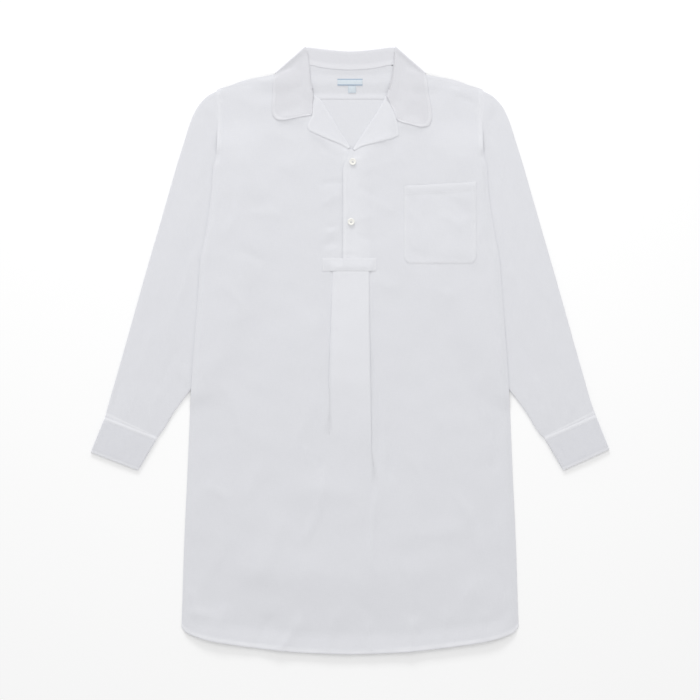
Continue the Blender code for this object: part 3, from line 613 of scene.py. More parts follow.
def armholeShare(y):
    # 1 beside the sleeve's seam, 0 at the shoulder and where the body lies over the sleeve
    above = smooth((y - front["armholeFoot"]) / front["armholeFootRamp"])
    return above * smooth((front["armholeTop"] - y) / front["armholeTopRamp"])


def bodyWidth(y):
    # The shown front reaches a little over the sleeve along the armhole
    return halfWidth(y) + front["armholeOver"] * armholeShare(y)


def fromFrontEdge(x, y):
    return sideDistance(x, y) + front["armholeOver"] * armholeShare(y)


def fromOpening(x, y):
    # 0 at the neck opening's edges, 1 away from them and below the opening
    beside = np.maximum(readTable(body["rightEdge"], y) - x, x - readTable(body["leftEdge"], y))
    below = np.maximum(front["openingFoot"] - y, 0.0)
    return smooth(np.hypot(np.maximum(beside, 0.0), below) / front["openingReach"])


def frontPlaced(x, y, extra):
    # The middle of the shown cloth: its upper face is the solid's, with creases and rolled edges
    armhole = armholeShare(y)
    away = fromFrontEdge(x, y)
    aboveHem = y - hemHeight(x)
    fromNeck = fromOpening(x, y)
    lowest = liftAt(x, y) + 1.5 * wall["cloth"] + wall["rest"]
    z = frontTop(x, y) - wall["cloth"] / 2 + extra
    z = mix(lowest + front["overBack"], z, fromNeck)
    shoulder = smooth((y - front["shoulderFrom"]) / front["shoulderRun"])
    drop = mix(mix(front["sideDrop"], front["armholeDrop"], armhole), front["shoulderDrop"], shoulder)
    z = z - edgeRoll(away, front["sideRoll"], drop)
    reach = front["hemLiftReach"]
    z = z + front["hemLift"] * smooth((reach - aboveHem) / reach) * smooth(away / reach)
    z = z + armhole * seamLines(away, front["armholeLines"]) + seamLines(aboveHem, front["hemLines"])
    calm = smooth(away / 10.0) * smooth((515.0 - y) / 30.0) * mix(0.3, 1.0, fromNeck)
    z = z + (creased(x, y, front["creases"]) + rumpled(x, y, front["rumple"], 1.0)) * calm
    return np.maximum(z, lowest)


def frontPliesAndHighlight(x, y):
    # Where the front has more plies, and a painted highlight where its ridges and folds catch the light: hem,
    # seams, placket and the box of the pleat
    uneven = 0.75 + 0.25 * np.sin(x / 23.0 + 1.0) * np.sin(x / 9.0)
    hem = uneven * strip(y - hemHeight(x), 0.5, front["hemWidth"])
    armholeSeamAndHighlight = tonedStrip(fromFrontEdge(x, y), front["armholePliesAndHighlight"]) * armholeShare(y)
    underlapAndHighlight = 0.3 * smooth((x + 14.0) / 4.0) * smooth((40.0 - x) / 34.0)
    placket = (underlapAndHighlight + tonedStrip(x, front["placketPliesAndHighlight"])) * strip(y, *front["placketRun"])
    box = tonedStrip(x, front["boxPliesAndHighlight"]) * strip(y, *front["boxRun"])
    head = tonedStrip(x, front["headPliesAndHighlight"]) * strip(y, *front["headRun"])
    return np.clip(hem + armholeSeamAndHighlight + placket + box + head, 0.0, 1.0)


def hemRows(first, shares, shorter):
    # Rows from the curved hem up to the straight row above it
    xs, ys = [], []
    for share in shares:
        width = halfWidth(mix(body["hemFrom"], body["hemSide"], share)) / halfWidth(body["hemFrom"])
        xs.append(first * width)
        ys.append(mix(body["hemFrom"], hemHeight(xs[-1]) + shorter, share))
    return xs, ys


def lowerRow(y, sideShares, boxShares):
    # One row below the tab, from side to side: places, heights over the panel, and thickness
    leftX, leftZ = pleatRow(y, -1)
    rightX, rightZ = pleatRow(y, 1)
    width = bodyWidth(y)
    x = np.concatenate((mix(-width, leftX[-1], sideShares[:-1]), leftX[::-1],
                        mix(leftX[0], rightX[0], boxShares),
                        rightX, mix(width, rightX[-1], sideShares[:-1])[::-1]))
    pad = np.zeros(len(sideShares) - 1)
    across = mix(leftZ[0], rightZ[0], boxShares) + leftZ[0] * 0.5 * smooth((boxShares - 0.01) / 0.12)
    z = np.concatenate((pad, leftZ[::-1], across, rightZ, pad))
    thick = np.concatenate((pad + 1, leftZ * 0 + foldThickness(y, -1), across * 0 + 1,
                            rightZ * 0 + foldThickness(y, 1), pad + 1))
    return x, z, thick


def layBelowTab(bm, sideShares):
    boxShares = spaced([0.02, 0.12, 0.95, 0.98], 0.06)
    first, firstZ, firstThick = lowerRow(body["hemFrom"], sideShares, boxShares)
    xs, ys = hemRows(first, spaced([1.0, 0.93, 0.0], body["cell"] / body["hemRun"])[:-1], 0.0)
    zs = [firstZ] * len(xs)
    thicks = [firstThick] * len(xs)
    for y in spaced([body["hemFrom"], body["pleatHead"]], body["cell"]):
        x, z, thick = lowerRow(y, sideShares, boxShares)
        xs.append(x)
        ys.append(np.full(len(x), y))
        zs.append(z)
        thicks.append(thick)
    x, y, z, thick = (np.array(rows) for rows in (xs, ys, zs, thicks))
    addPatch(bm, x, y, frontPlaced(x, y, z), frontPliesAndHighlight(x, y), free=("bottom", "left", "right"), thick=thick)


def placketLap(x, y, table):
    # How far the upper half rises over the lower one along the placket
    lap = front["pitch"] * smooth((y - body["pleatHead"]) / body["lapRise"])
    lap = lap * smooth(1 + (body["lapTop"] - y) / body["lapTopRamp"])
    lap = lap * smooth((body["lapFrom"] - x) / body["lapRamp"])
    fromEdge = x - readTable(table, y)
    edge = smooth(1 - fromEdge / front["placketReach"]) * smooth((y - 150.0) / 20.0)
    return lap + front["placketLift"] * edge


def layBesidePlacket(bm, side, table, sideShares):
    # One half of the front above the pleat's head: its panel, then a strip along its inner edge
    rows = spaced([body["pleatHead"], body["placketFoot"], 337, 348, 357, 363, 452, 458, 469], body["cell"])
    rows = np.concatenate((rows, spaced([469, 476, 486, 496, 509], 2.5)[1:]))
    join = pleatRow(body["pleatHead"], side)[0][-1]
    panelX, stripX = [], []
    for y in rows:
        edge = readTable(table, y)
        width = side * bodyWidth(y)
        inner = join
        if y > body["placketFoot"]:
            border = 12.0 * smooth((y - 325.0) / 60.0)
            inner = side * max(side * join, side * edge + border)
        if abs(inner) > abs(width):
            inner = mix(width, edge, 0.7)
        panelX.append(mix(width, inner, sideShares))
        stripX.append(mix(inner, edge, np.linspace(0.0, 1.0, 14)))
    for x, firstRow, outer in ((np.array(panelX), 0, "left"), (np.array(stripX)[1:], 1, "right")):
        y = np.repeat(rows[firstRow:, None], x.shape[1], axis=1)
        lap = placketLap(x, y, table) if side > 0 else 0.0
        addPatch(bm, x, y, frontPlaced(x, y, lap), frontPliesAndHighlight(x, y), free=("top", outer))


def buildFront():
    # Shares of the way from the side seam to the pleat, close together at the seam
    sideShares = spaced([0.0, 0.03, 0.12, 1.0], 0.019)
    sideShares = np.concatenate((np.array([0.0, 0.004, 0.010, 0.018]), sideShares[sideShares > 0.02]))
    bm = bmesh.new()
    layBelowTab(bm, sideShares)
    layBesidePlacket(bm, -1, body["rightEdge"], sideShares)
    layBesidePlacket(bm, 1, body["leftEdge"], sideShares)
    return finishCloth(bm, "frontCloth", cotton, wall["cloth"])


frontCloth = buildFront()
standFor("front")
print("front laid")


# Back and yoke: the back rests flat, and its few creases stand up into the air between the plies
back = {
    "creases": [(-180, -460, -120, -300, 16, 0.5, 8), (60, -420, 110, -250, 18, 0.5, -6),
                (-60, -200, 20, -60, 20, 0.45, 8), (130, 60, 170, 190, 14, 0.4, 6),
                (-150, 120, -90, 260, 18, 0.45, -8), (-20, 300, 40, 400, 16, 0.4, 4),
                (220, -470, 244, -360, 10, 0.4, 2)],
    "yokeLap": 1.6, "yokeTopSide": 486.0,
    "bandRise": 1.3, "bandReach": 13.0, "bandHalf": 80.0, "bandSide": 8.0,
}


def backHeight(x, y):
    calm = smooth((halfWidth(y) - np.abs(x)) / 30.0)
    return liftAt(x, y) + wall["cloth"] / 2 + np.maximum(creased(x, y, back["creases"]), 0.0) * calm


def backRow(y):
    # Places across the back, close together at its sides
    shares = spaced([0.0, 0.02, 1.0], body["backCell"] / 300.0)
    return mix(-halfWidth(y), 0.0, np.concatenate((shares, 2.0 - shares[-2::-1])))


def buildBack():
    first = backRow(body["hemFrom"])
    hemShares = spaced([1.0, 0.95, 0.0], body["backCell"] / body["hemRun"])[:-1]
    xs, ys = hemRows(first, hemShares, body["backHemShorter"])
    for y in spaced([body["hemFrom"], lie["foot"], body["yokeSeam"] - 0.15], body["backCell"]):
        xs.append(backRow(y))
        ys.append(np.full(len(first), y))
    x, y = np.array(xs), np.array(ys)
    bm = bmesh.new()
    # Painted highlight, with extra plies, along the back's top edge below the yoke seam
    addPatch(bm, x, y, backHeight(x, y), 0.5 * strip(body["yokeSeam"] - y, 0.0, 5.0, 2.0),
             free=("bottom", "left", "right", "top"))
    return finishCloth(bm, "backCloth", cotton, wall["cloth"])


def buildYoke():
    xs, ys = [], []
    for y in spaced([body["yokeSeam"] - back["yokeLap"], body["yokeSeam"] + 3, 461, 469, 476,
                     back["yokeTopSide"]], 1.5):
        xs.append(backRow(y))
        ys.append(np.full(len(xs[0]), y))
    start, last = xs[-1], backRow(496.0)
    top = readTable(body["backNeck"], np.abs(last)) - 0.3
    for share in np.linspace(0.0, 1.0, 7)[1:]:
        xs.append(mix(start, last, share))
        ys.append(mix(back["yokeTopSide"], top, share))
    x, y = np.array(xs), np.array(ys)
    # Over the back at its seam, and up inside the collar's band at the neck
    z = backHeight(x, y) + (wall["cloth"] + wall["rest"]) * (1.0 - smooth((y - body["yokeSeam"] - 0.5) / 9.0))
    inBand = smooth(1 - (top[None, :] - y) / back["bandReach"])
    z = z + back["bandRise"] * inBand * smooth((back["bandHalf"] - np.abs(x)) / back["bandSide"])
    bm = bmesh.new()
    addPatch(bm, x, y, z, free=("bottom", "left", "right", "top"))
    return finishCloth(bm, "yokeCloth", cotton, wall["cloth"])


backCloth = buildBack()
yokeCloth = buildYoke()
standFor("back")
standFor("yoke")
print("back and yoke laid")


# Sleeves and cuffs: flattened tubes
sleeveCreases = {
    "left": [
        # from the armhole down the sleeve
        (262, 452, 246, 432, 6, 0.5, 2), (268, 440, 250, 408, 6, -0.4, 2), (252, 380, 276, 300, 10, 0.5, 4),
        (258, 300, 300, 200, 12, 0.5, 8), (262, 244, 292, 120, 9, 0.6, 6), (300, 330, 322, 240, 12, -0.4, 4),
        (286, 150, 318, 50, 11, 0.55, 6), (326, 190, 356, 90, 13, 0.5, -6), (300, 20, 340, -60, 12, -0.5, 5),
        (350, 60, 384, -30, 12, 0.5, -5), (330, -50, 356, -120, 9, 0.6, 4), (382, -40, 404, -112, 8, 0.6, -4),
        (400, -60, 420, -110, 7, -0.5, 2), (344, -100, 352, -142, 6, 0.55, 0),
        (366, -96, 378, -138, 6, -0.55, 1),
        (392, -84, 396, -128, 6, 0.5, 0), (416, -70, 426, -112, 6, 0.4, 1), (368, 130, 384, 60, 10, 0.3, 2),
    ],
    "right": [
        (258, 446, 244, 424, 6, 0.5, 2), (262, 424, 248, 392, 7, -0.4, 2), (250, 372, 274, 290, 10, 0.5, 5),
        (262, 290, 296, 190, 12, 0.5, 8), (276, 176, 300, 96, 9, 0.6, 5), (304, 320, 330, 220, 13, -0.4, 5),
        (292, 120, 330, 20, 12, 0.5, 6), (336, 170, 352, 80, 12, 0.45, -5), (296, -30, 286, -70, 7, 0.8, 3),
        (310, 0, 342, -80, 12, -0.5, 5), (356, 40, 390, -50, 12, 0.55, -5), (340, -70, 360, -132, 9, 0.6, 4),
        (384, -60, 402, -118, 8, 0.5, -4), (410, -50, 426, -112, 7, -0.45, 2),
        (350, -110, 356, -146, 6, 0.5, 0),
        (374, -104, 380, -142, 6, -0.5, 1), (402, -92, 408, -128, 5, 0.45, 0),
    ],
}


def tubeShares(length, radius, cell):
    # Places round a flattened tube as (share of the width, height as a share of the radius)
    ends = [(radius * (1 - math.cos(a)) / length, math.sin(a)) for a in np.linspace(0.0, math.pi / 2, 6)]
    count = max(2, round(length / cell))
    middle = np.linspace(ends[-1][0], 1 - ends[-1][0], count + 1)[1:-1]
    top = ends + [(share, 1.0) for share in middle]
    top += [(1 - share, height) for share, height in reversed(ends)]
    under = [(share, -height) for share, height in reversed(top[1:-1])]
    return np.array(top + under + top[:1])


def layTube(name, finish, side, seed, tube, creases, ends, laid, loft, plies):
    # A tube from ends(t), which gives the outer and inner end of a cross line at t from 0 to 1
    length = tube["length"]
    flatWidth = 200.0     # width of one ply, all along
    underAt = 230.0       # where the weave of the lower ply starts
    radius = (tube["solid"] + wall["gap"]) / 2
    rows = max(4, round(length / sleeve["cell"]))
    fine = np.array([1.2, 2.4, 3.8, 5.4, 7.2]) / length
    clear = 9.5 / length
    ts = np.concatenate(([0.0], fine, np.linspace(clear, 1 - clear, rows), 1 - fine[::-1], [1.0]))
    shares = tubeShares(flatWidth, radius, sleeve["cell"])
    across, height = shares[:, 0][None, :], shares[:, 1][None, :]
    outer, inner = ends(ts)
    x = mix(outer[0][:, None], inner[0][:, None], across)
    y = mix(outer[1][:, None], inner[1][:, None], across)
    x, dip = laid(x, ts[:, None], across, height)
    grown = (tube["solid"] - tube["cloth"]) / 2
    z = tube["solid"] / 2 + radius + (radius + grown) * height + dip
    onTop = height > 0.0
    flatTop = smooth((np.minimum(across, 1 - across) * flatWidth - 2.0) / 14.0)
    shape = loft(x, y, across) + (creased(x, y, creases) + rumpled(x, y, tube["rumple"], seed)) * flatTop
    z = z + np.where(onTop, shape, np.maximum(creased(x, y, tube["under"]), 0.0) * flatTop)
    u = across * flatWidth + np.where(onTop, 0.0, underAt) + np.zeros_like(x)
    v = ts[:, None] * length + np.zeros_like(x)
    bm = bmesh.new()
    addPatch(bm, x * side, y, z, plies(v), u, v, free=("bottom", "top"))
    return finishCloth(bm, name, finish, tube["cloth"])


def armholeX(y):
    straight = halfWidth(np.minimum(y, sleeve["armholeTop"])) + sleeve["seam"]
    foot = sleeve["cross"][0]
    share = np.clip((sleeve["armholeTo"] - y) / (sleeve["armholeTo"] - foot[3]), 0.0, 1.0)
    under = mix(halfWidth(sleeve["armholeTo"]) + sleeve["seam"], foot[2], share ** 1.5)
    return np.where(y > sleeve["armholeTo"], straight, under)


def buildSleeve(name, key, side, seed):
    lines = sleeveLines(cuffs[key])
    index = np.arange(len(lines), dtype=float)
    travel = [0.0]
    for a, b in zip(lines, lines[1:]):
        step = math.hypot((a[0] + a[2] - b[0] - b[2]) / 2, (a[1] + a[3] - b[1] - b[3]) / 2)
        travel.append(travel[-1] + step)
    travel = np.array(travel) / travel[-1]

    def ends(ts):
        values = [curveThrough(index, column(lines, k), np.interp(ts, travel, index)) for k in range(4)]
        return values[:2], values[2:]

    def laid(x, t, across, height):
        # The armhole's curve, the end under the body there, and the flatter end inside the cuff
        foot = sleeve["cross"][0]
        bow = armholeX(mix(foot[1], foot[3], across)) - mix(foot[0], foot[2], across)
        x = x + bow * np.maximum(0.0, 1 - np.interp(t, travel, index) / sleeve["armholeRows"])
        along = t * sleeve["length"]
        upper = np.clip(height, 0.0, 1.0)
        startDip = sleeve["startDip"] * smooth(1 - along / 6.0) * upper
        cuffDip = sleeve["cuffDip"] * smooth(1 - (sleeve["length"] - along) / 6.0) * height
        return x - sleeve["tuck"] * smooth(1 - along / 3.0) * upper, -startDip - cuffDip

    def loft(x, y, across):
        clear = x - halfWidth(np.minimum(y, body["yokeSeam"])) - sleeve["loftClear"]
        crown = np.sin(math.pi * np.clip(across, 0, 1)) ** 0.7
        return sleeve["loft"] * smooth(clear / sleeve["loftRamp"]) * crown

    def plies(along):
        # Painted highlight with extra plies at the armhole end and near the cuff
        return 0.25 * strip(along, 0.0, 6.0, 3.0) + 0.8 * strip(sleeve["length"] - along, 3.0, 8.0)

    return layTube(name, cotton, side, seed, sleeve, sleeveCreases[key], ends, laid, loft, plies)


def buildCuff(name, key, side, seed):
    (seamOuter, seamInner), (edgeOuter, edgeInner) = cuffs[key]["seam"], cuffs[key]["edge"]

    def ends(ts):
        at = mix(-cuffs["overSleeve"], 1.0, ts)
        outer = [mix(seamOuter[k], edgeOuter[k], at) for k in (0, 1)]
        inner = [mix(seamInner[k], edgeInner[k], at) for k in (0, 1)]
        return outer, inner

    def laid(x, t, across, height):
        # The seam end hugs the sleeve, and the open end comes down
        along = t * cuffs["length"]
        dip = cuffs["startDip"] * smooth(1 - along / 9.0)
        dip = dip + cuffs["openDip"] * smooth(1 - (cuffs["length"] - along) / 8.0)
        return x, (seamLines(along, cuffs["seamLines"]) - dip) * np.clip(height, 0.0, 1.0)

    def loft(x, y, across):
        return cuffs["loft"] * np.sin(math.pi * np.clip(across, 0, 1)) + np.zeros_like(x)

    def plies(along):
        # Painted highlight with extra plies along the seam to the sleeve and at the open end
        seams = strip(along, 1.0, 5.5) + 0.5 * strip(cuffs["length"] - along, 0.0, 4.5)
        return np.clip(seams, 0.0, 1.0)

    return layTube(name, shadedCuffCotton, side, seed, cuffs, cuffs["creases"], ends, laid, loft, plies)


for name, key, side, seed in (("sleeveClothLeft", "left", 1, 2.0), ("sleeveClothRight", "right", -1, 3.4)):
    buildSleeve(name, key, side, seed)
    standFor("sleeve_" + key)
cuffPieces = {}
for name, key, side, seed in (("cuffClothLeft", "left", 1, 5.0), ("cuffClothRight", "right", -1, 6.1)):
    cuffPieces[key] = buildCuff(name, key, side, seed)
    standFor("cuff_" + key)
print("sleeves and cuffs laid")


# Collar: the band stands from the neck seam to the roll, and the fall turns over it. A station
# has the neck seam, the roll and the fall's edge, the heights of band and fall, and 1 in leaf
# where the fall lies in front.
Station = namedtuple("station", "neckX neckY rollX rollY edgeX edgeY low high leaf")
collar = {
    "floorFall": 0.75, "backBand": 3.95, "frontBand": 3.45, "leaf": 4.5, "reach": 26.0, "lifted": 0.4,
    "liftedReach": 42.0, "least": 3.0, "endFall": 0.3, "endOver": 1.5, "bandLap": 1.8,
    "edgeLines": [(3.5, 2.6, 0.2), (8.0, 2.2, -0.25)],
    "back": [(0, 506.3, 0, 538, 0, 491), (20, 507.2, 20, 539, 24, 490), (40, 508.9, 40, 541, 52, 488),
             (58, 512.2, 60, 543.5, 84, 488), (68, 514.6, 73.5, 545, 112, 490)],
    "turn": {"right": (74, 515, 81, 546.5, 135, 499), "left": (75, 515, 82.5, 546.5, 136.5, 499)},
    "front": {
        "right": [(78.5, 512, 75, 535, 138, 484), (79, 505, 73, 520, 139, 470),
                  (78.2, 492, 72.5, 503, 140, 455), (76.4, 482, 71, 486, 140.5, 440),
                  (72.6, 468.5, 67.2, 470, 140.5, 428)],
        "left": [(81.5, 512, 79, 535, 139, 484), (81.7, 505, 78.5, 520, 140.5, 470),
                 (81, 490, 76, 500, 143.5, 452), (78.5, 480, 73, 485, 146, 436),
                 (74.6, 468.5, 69, 471, 147.5, 420)],
    },
    "end": {
        "right": [(66.5, 458, 134, 416), (67.5, 450, 123, 413), (68.5, 440, 105, 416), (69, 430, 82, 421),
                  (69.2, 424.5, 74.5, 421.8)],
        "left": [(67, 458, 141, 403), (71, 448, 128, 401), (77, 436, 111, 405), (82.5, 424, 95, 409),
                 (84.6, 416, 88.5, 411.6)],
    },
    "between": 5,
    "turnAngles": (90, 60, 30, 0, -30, -60, -90),
    "creases": [(-96, 470, -118, 440, 12, 0.35, 2), (96, 474, 122, 444, 12, 0.35, -2),
                (86, 452, 98, 430, 8, -0.3, 1), (-84, 456, -92, 436, 8, -0.3, 1),
                (110, 500, 126, 470, 10, 0.3, 2)],
}


def endStation(key, number, side):
    # Down the seam to the lapel the leaf comes level with it
    gorgeX, gorgeY, edgeX, edgeY = collar["end"][key][number]
    low = collar["frontBand"] - collar["endFall"] * (number + 1)
    gorgeX = (gorgeX - collar["endOver"]) * side
    return Station(gorgeX, gorgeY, gorgeX, gorgeY, edgeX * side, edgeY, low, collar["leaf"], 1.0)


def turnStation(key, side, angle):
    # Where the fall passes from below the band to above it
    neckX, neckY, rollX, rollY, edgeX, edgeY = collar["turn"][key]
    line = Vector((edgeX - rollX, edgeY - rollY)).normalized()
    radius = (collar["leaf"] - collar["floorFall"]) / 2
    inset = radius * (1 - math.cos(math.radians(angle)))
    outX, outY = -line.y * inset, line.x * inset
    height = collar["floorFall"] + radius * (1 + math.sin(math.radians(angle)))
    low = mix(collar["backBand"], collar["frontBand"], 0.25 + 0.5 * (0.5 + angle / 180))
    return Station(neckX * side, neckY, (rollX - outX) * side, rollY - outY,
                   (edgeX - outX) * side, edgeY - outY, low, height, 0.0)


def plainStation(values, side, low, high, leaf):
    neckX, neckY, rollX, rollY, edgeX, edgeY = values
    return Station(neckX * side, neckY, rollX * side, rollY, edgeX * side, edgeY, low, high, leaf)


def sideStations(key, side):
    # From the middle of the back round to the front end on one side
    rows = [plainStation(values, side, collar["backBand"], collar["floorFall"], 0.0)
            for values in collar["back"]]
    rows += [turnStation(key, side, angle) for angle in reversed(collar["turnAngles"])]
    rows += [plainStation(values, side, collar["frontBand"], collar["leaf"], 1.0)
             for values in collar["front"][key]]
    return rows + [endStation(key, number, side) for number in range(len(collar["end"][key]))]


def buildCollar(beneath):
    stations = sideStations("right", -1)[:0:-1] + sideStations("left", 1)
    index = np.arange(len(stations), dtype=float)
    at = np.linspace(0.0, len(stations) - 1.0, (len(stations) - 1) * collar["between"] + 1)
    values = Station(*[curveThrough(index, column(stations, k), at) for k in range(len(Station._fields))])
    grown = (wall["collar"] - wall["collarCloth"]) / 2
    endCount = len(collar["end"]["right"])
    bandRows = slice(endCount * collar["between"], (len(stations) - endCount - 1) * collar["between"] + 1)

    # The band rises straight from the neck seam and turns round the roll
    out = np.stack((values.rollX - values.neckX, values.rollY - values.neckY))
    length = np.maximum(np.hypot(out[0], out[1]), 0.001)
    out = out / length
    radius = np.abs(values.high - values.low) / 2
    bandX, bandY, bandZ = [], [], []
    for share in np.linspace(0.0, 1.0, 7):
        bandX.append(mix(values.neckX, values.rollX - out[0] * radius, share))
        bandY.append(mix(values.neckY, values.rollY - out[1] * radius, share))
        bandZ.append(values.low)
    for angle in np.radians((-60, -30, 0, 30, 60, 90)):
        inset = radius * (1 - np.cos(angle))
        bandX.append(values.rollX - out[0] * inset)
        bandY.append(values.rollY - out[1] * inset)
        bandZ.append(mix(values.low, values.high, 0.5 + 0.5 * np.sin(angle)))
    bandX, bandY, bandZ = (np.array(rows).T for rows in (bandX, bandY, bandZ))

    # The fall runs on from the band's last row to its own edge
    startX = np.where(length > 0.01, bandX[:, -1], values.rollX)
    startY = np.where(length > 0.01, bandY[:, -1], values.rollY)
    shares = np.concatenate((np.linspace(0.0, 0.88, 16), np.array([0.91, 0.94, 0.965, 0.985, 1.0])))[None, :]
    fallX = mix(startX[:, None], values.edgeX[:, None], shares)
    fallY = mix(startY[:, None], values.edgeY[:, None], shares)
    fromRoll = np.hypot(fallX - values.rollX[:, None], fallY - values.rollY[:, None])
    above = (values.low[:, None] + wall["collarCloth"] / 2) * smooth(1 - (fromRoll - 8.0) / collar["reach"])
    leafZ = np.maximum(np.maximum(topAt(beneath, fallX, fallY), above), collar["least"])
    leafZ = leafZ + wall["rest"] + wall["collarCloth"] / 2
    leaf, high = values.leaf[:, None], values.high[:, None]
    fallZ = mix(high + grown * np.sign(high - 3.0), leafZ, leaf)
    fromEdge = (1.0 - shares) * np.hypot(values.edgeX - startX, values.edgeY - startY)[:, None]
    rise = seamLines(fromEdge, collar["edgeLines"]) - edgeRoll(fromEdge, 3.0, 0.4)
    lifted = smooth(1 - fromEdge / collar["liftedReach"]) * smooth((fromRoll - 4.0) / 20.0)
    fallZ = fallZ + leaf * (rise + collar["lifted"] * lifted + creased(fallX, fallY, collar["creases"]))
    bandZ[:, -1] = fallZ[:, 0]

    # Behind the neck the band's lower edge lies over the yoke
    behind = (1.0 - values.leaf) * smooth((values.neckY - 500.0) / 6.0)
    bandX[:, 0] -= out[0] * collar["bandLap"] * behind
    bandY[:, 0] -= out[1] * collar["bandLap"] * behind
    bandZ[:, 0] -= 0.1 * behind
    # Painted highlight, with extra plies, along the band's lower edge and the fall's edges
    bandPliesAndHighlight = np.zeros_like(bandX)
    bandPliesAndHighlight[:, :2] = 0.45
    uneven = 0.6 + 0.4 * np.sin(fallX / 9.0) * np.cos(fallY / 7.0)
    fallPliesAndHighlight = 0.5 * strip(fromEdge, 1.0, 7.0, 2.5) * leaf * uneven
    bm = bmesh.new()
    addPatch(bm, bandX[bandRows], bandY[bandRows], bandZ[bandRows], bandPliesAndHighlight[bandRows], free=("left",))
    addPatch(bm, fallX, fallY, fallZ, fallPliesAndHighlight, free=("right",))
    return finishCloth(bm, "collarCloth", collarCotton, wall["collarCloth"])


# Lapels: a row has a place on the roll, then the place across from it on the outer edge
lapels = {
    "right": [(-65.4, 459.4, -66.0, 458.4), (-61, 455.6, -67.0, 450), (-54, 451, -68.4, 437),
              (-45, 437, -68.9, 422.5), (-36, 423, -77, 402),
              (-29, 411, -74, 396), (-22, 399.5, -54, 386), (-14.8, 387.5, -34, 377.5), (-7, 376, -16, 370),
              (0.3, 364.5, -2.5, 362)],
    "left": [(66.4, 459.6, 67.0, 458.4), (65.2, 457.6, 69.4, 451.5), (59.5, 446, 76.8, 435.5),
             (53.5, 436, 84.5, 414.5), (45, 421.5, 88, 388),
             (37, 410, 81, 383), (29, 397, 63, 377), (20.7, 384.5, 40, 371.5), (12.6, 372.5, 21.5, 366.5),
             (5.4, 362, 7.5, 358.5)],
    "puff": 0.4, "lifted": 0.3, "edgeLines": [(3.0, 2.4, 0.2)], "between": 6,
}


def buildLapel(key, beneath):
    rows = lapels[key]
    index = np.arange(len(rows), dtype=float)
    at = np.linspace(0.0, len(rows) - 1.0, (len(rows) - 1) * lapels["between"] + 1)
    rollX, rollY, edgeX, edgeY = (curveThrough(index, column(rows, k), at)[:, None] for k in range(4))
    shares = np.linspace(0.0, 1.0, 15)[None, :]
    x = mix(rollX, edgeX, shares)
    y = mix(rollY, edgeY, shares)
    width = np.hypot(edgeX - rollX, edgeY - rollY)
    fromEdge = (1.0 - shares) * width
    puff = lapels["puff"] * smooth(shares / 0.5) * smooth((1 - shares) / 0.25)
    lifted = lapels["lifted"] * smooth(1 - fromEdge / 36.0) * smooth((width - fromEdge) / 14.0)
    z = topAt(beneath, x, y) + wall["rest"] + wall["cloth"] / 2 + (puff + lifted) * smooth(width / 30.0)
    z = z + seamLines(fromEdge, lapels["edgeLines"]) - edgeRoll(fromEdge, 3.0, 0.3)

    # Round the roll, down to the front's own edge
    turn = np.radians(np.array([-90.0, -50.0, -15.0, 20.0, 55.0]))[None, :]
    radius = (wall["cloth"] + wall["rest"]) / 2 + 0.1
    foldX = rollX + (rollX - edgeX) / width * radius * np.cos(turn)
    foldY = rollY + (rollY - edgeY) / width * radius * np.cos(turn)
    foldZ = z[:, :1] - radius + radius * np.sin(turn)
    x, y, z = (np.concatenate(pair, axis=1) for pair in ((foldX, x), (foldY, y), (foldZ, z)))
    fromEdge = np.concatenate((np.full(foldX.shape, 40.0), fromEdge), axis=1)
    fromRoll = np.hypot(x - rollX, y - rollY)
    # Painted highlight, with extra plies, along the lapel's edge and on its roll
    plies = 0.4 * strip(fromEdge, 0.5, 5.0) + 0.2 * strip(fromRoll, -2.0, 3.0)
    bm = bmesh.new()
    addPatch(bm, x, y, z, plies, free=("left", "right", "bottom"))
    return finishCloth(bm, "lapelCloth" + key.capitalize(), cotton, wall["cloth"])


onFront = surfaceOf([frontCloth])
lapelPieces = {}
for key in ("left", "right"):
    lapelPieces[key] = buildLapel(key, onFront)
    standFor("lapel_" + key)
collarCloth = buildCollar(surfaceOf([frontCloth, yokeCloth, lapelPieces["left"], lapelPieces["right"]]))
standFor("collar")
print("collar and lapels laid")


# Pocket, tab and labels. The plies value gives the tone of the whole piece and of a strip along its edges: on
# the pocket and tab it is extra plies with a painted highlight, on the labels their blue border.
pocket = {
    "left": 97.0, "right": 227.0, "top": 296.0, "topRise": 7.0, "bottom": 155.5, "corner": 9.0, "puff": 0.5,
    "sideLines": [(4.0, 3.0, 0.12), (8.5, 2.5, -0.12)], "hemLines": [(6.0, 4.5, 0.4), (18.0, 4.0, -0.25)],
    "creases": [(186, 270, 206, 240, 10, -0.7, 3), (166, 243, 200, 218, 10, 0.7, 3),
                (98, 300, 118, 276, 6, 0.6, 2), (110, 250, 136, 190, 14, 0.5, 4),
                (110, 176, 140, 166, 8, -0.5, 2), (150, 280, 180, 272, 8, -0.5, 2)],
}
# On the tab, tone and edge tone are a painted highlight with extra plies
tab = {
    "left": -50.0, "right": 47.5, "bottom": 142.3, "top": 166.0, "columns": 44, "rows": 12,
    "cloth": wall["cloth"], "bulge": 0.5, "ridge": 0.1, "reach": 4.0, "endsOnly": False,
    "tone": 0.2, "edgeTone": 0.3, "edgeStrip": (-1.0, 3.0, 2.0),
}
label = {
    "left": -22.5, "right": 22.5, "bottom": 476.2, "top": 488.7, "columns": 40, "rows": 16,
    "cloth": wall["labelCloth"], "bulge": 0.0, "ridge": 0.1, "reach": 2.0, "endsOnly": True, "tone": 0.0,
    "edgeTone": 1.0, "edgeStrip": (0.5, 1.9, 0.2),
}
sizeTab = {
    "left": -3.4, "right": 10.6, "bottom": 463.2, "top": 475.7, "columns": 14, "rows": 12,
    "cloth": wall["labelCloth"], "bulge": 0.0, "ridge": 0.1, "reach": 2.0, "endsOnly": False, "tone": 0.0,
    "edgeTone": 0.12, "edgeStrip": (-1.0, 1.2, 0.2),
}


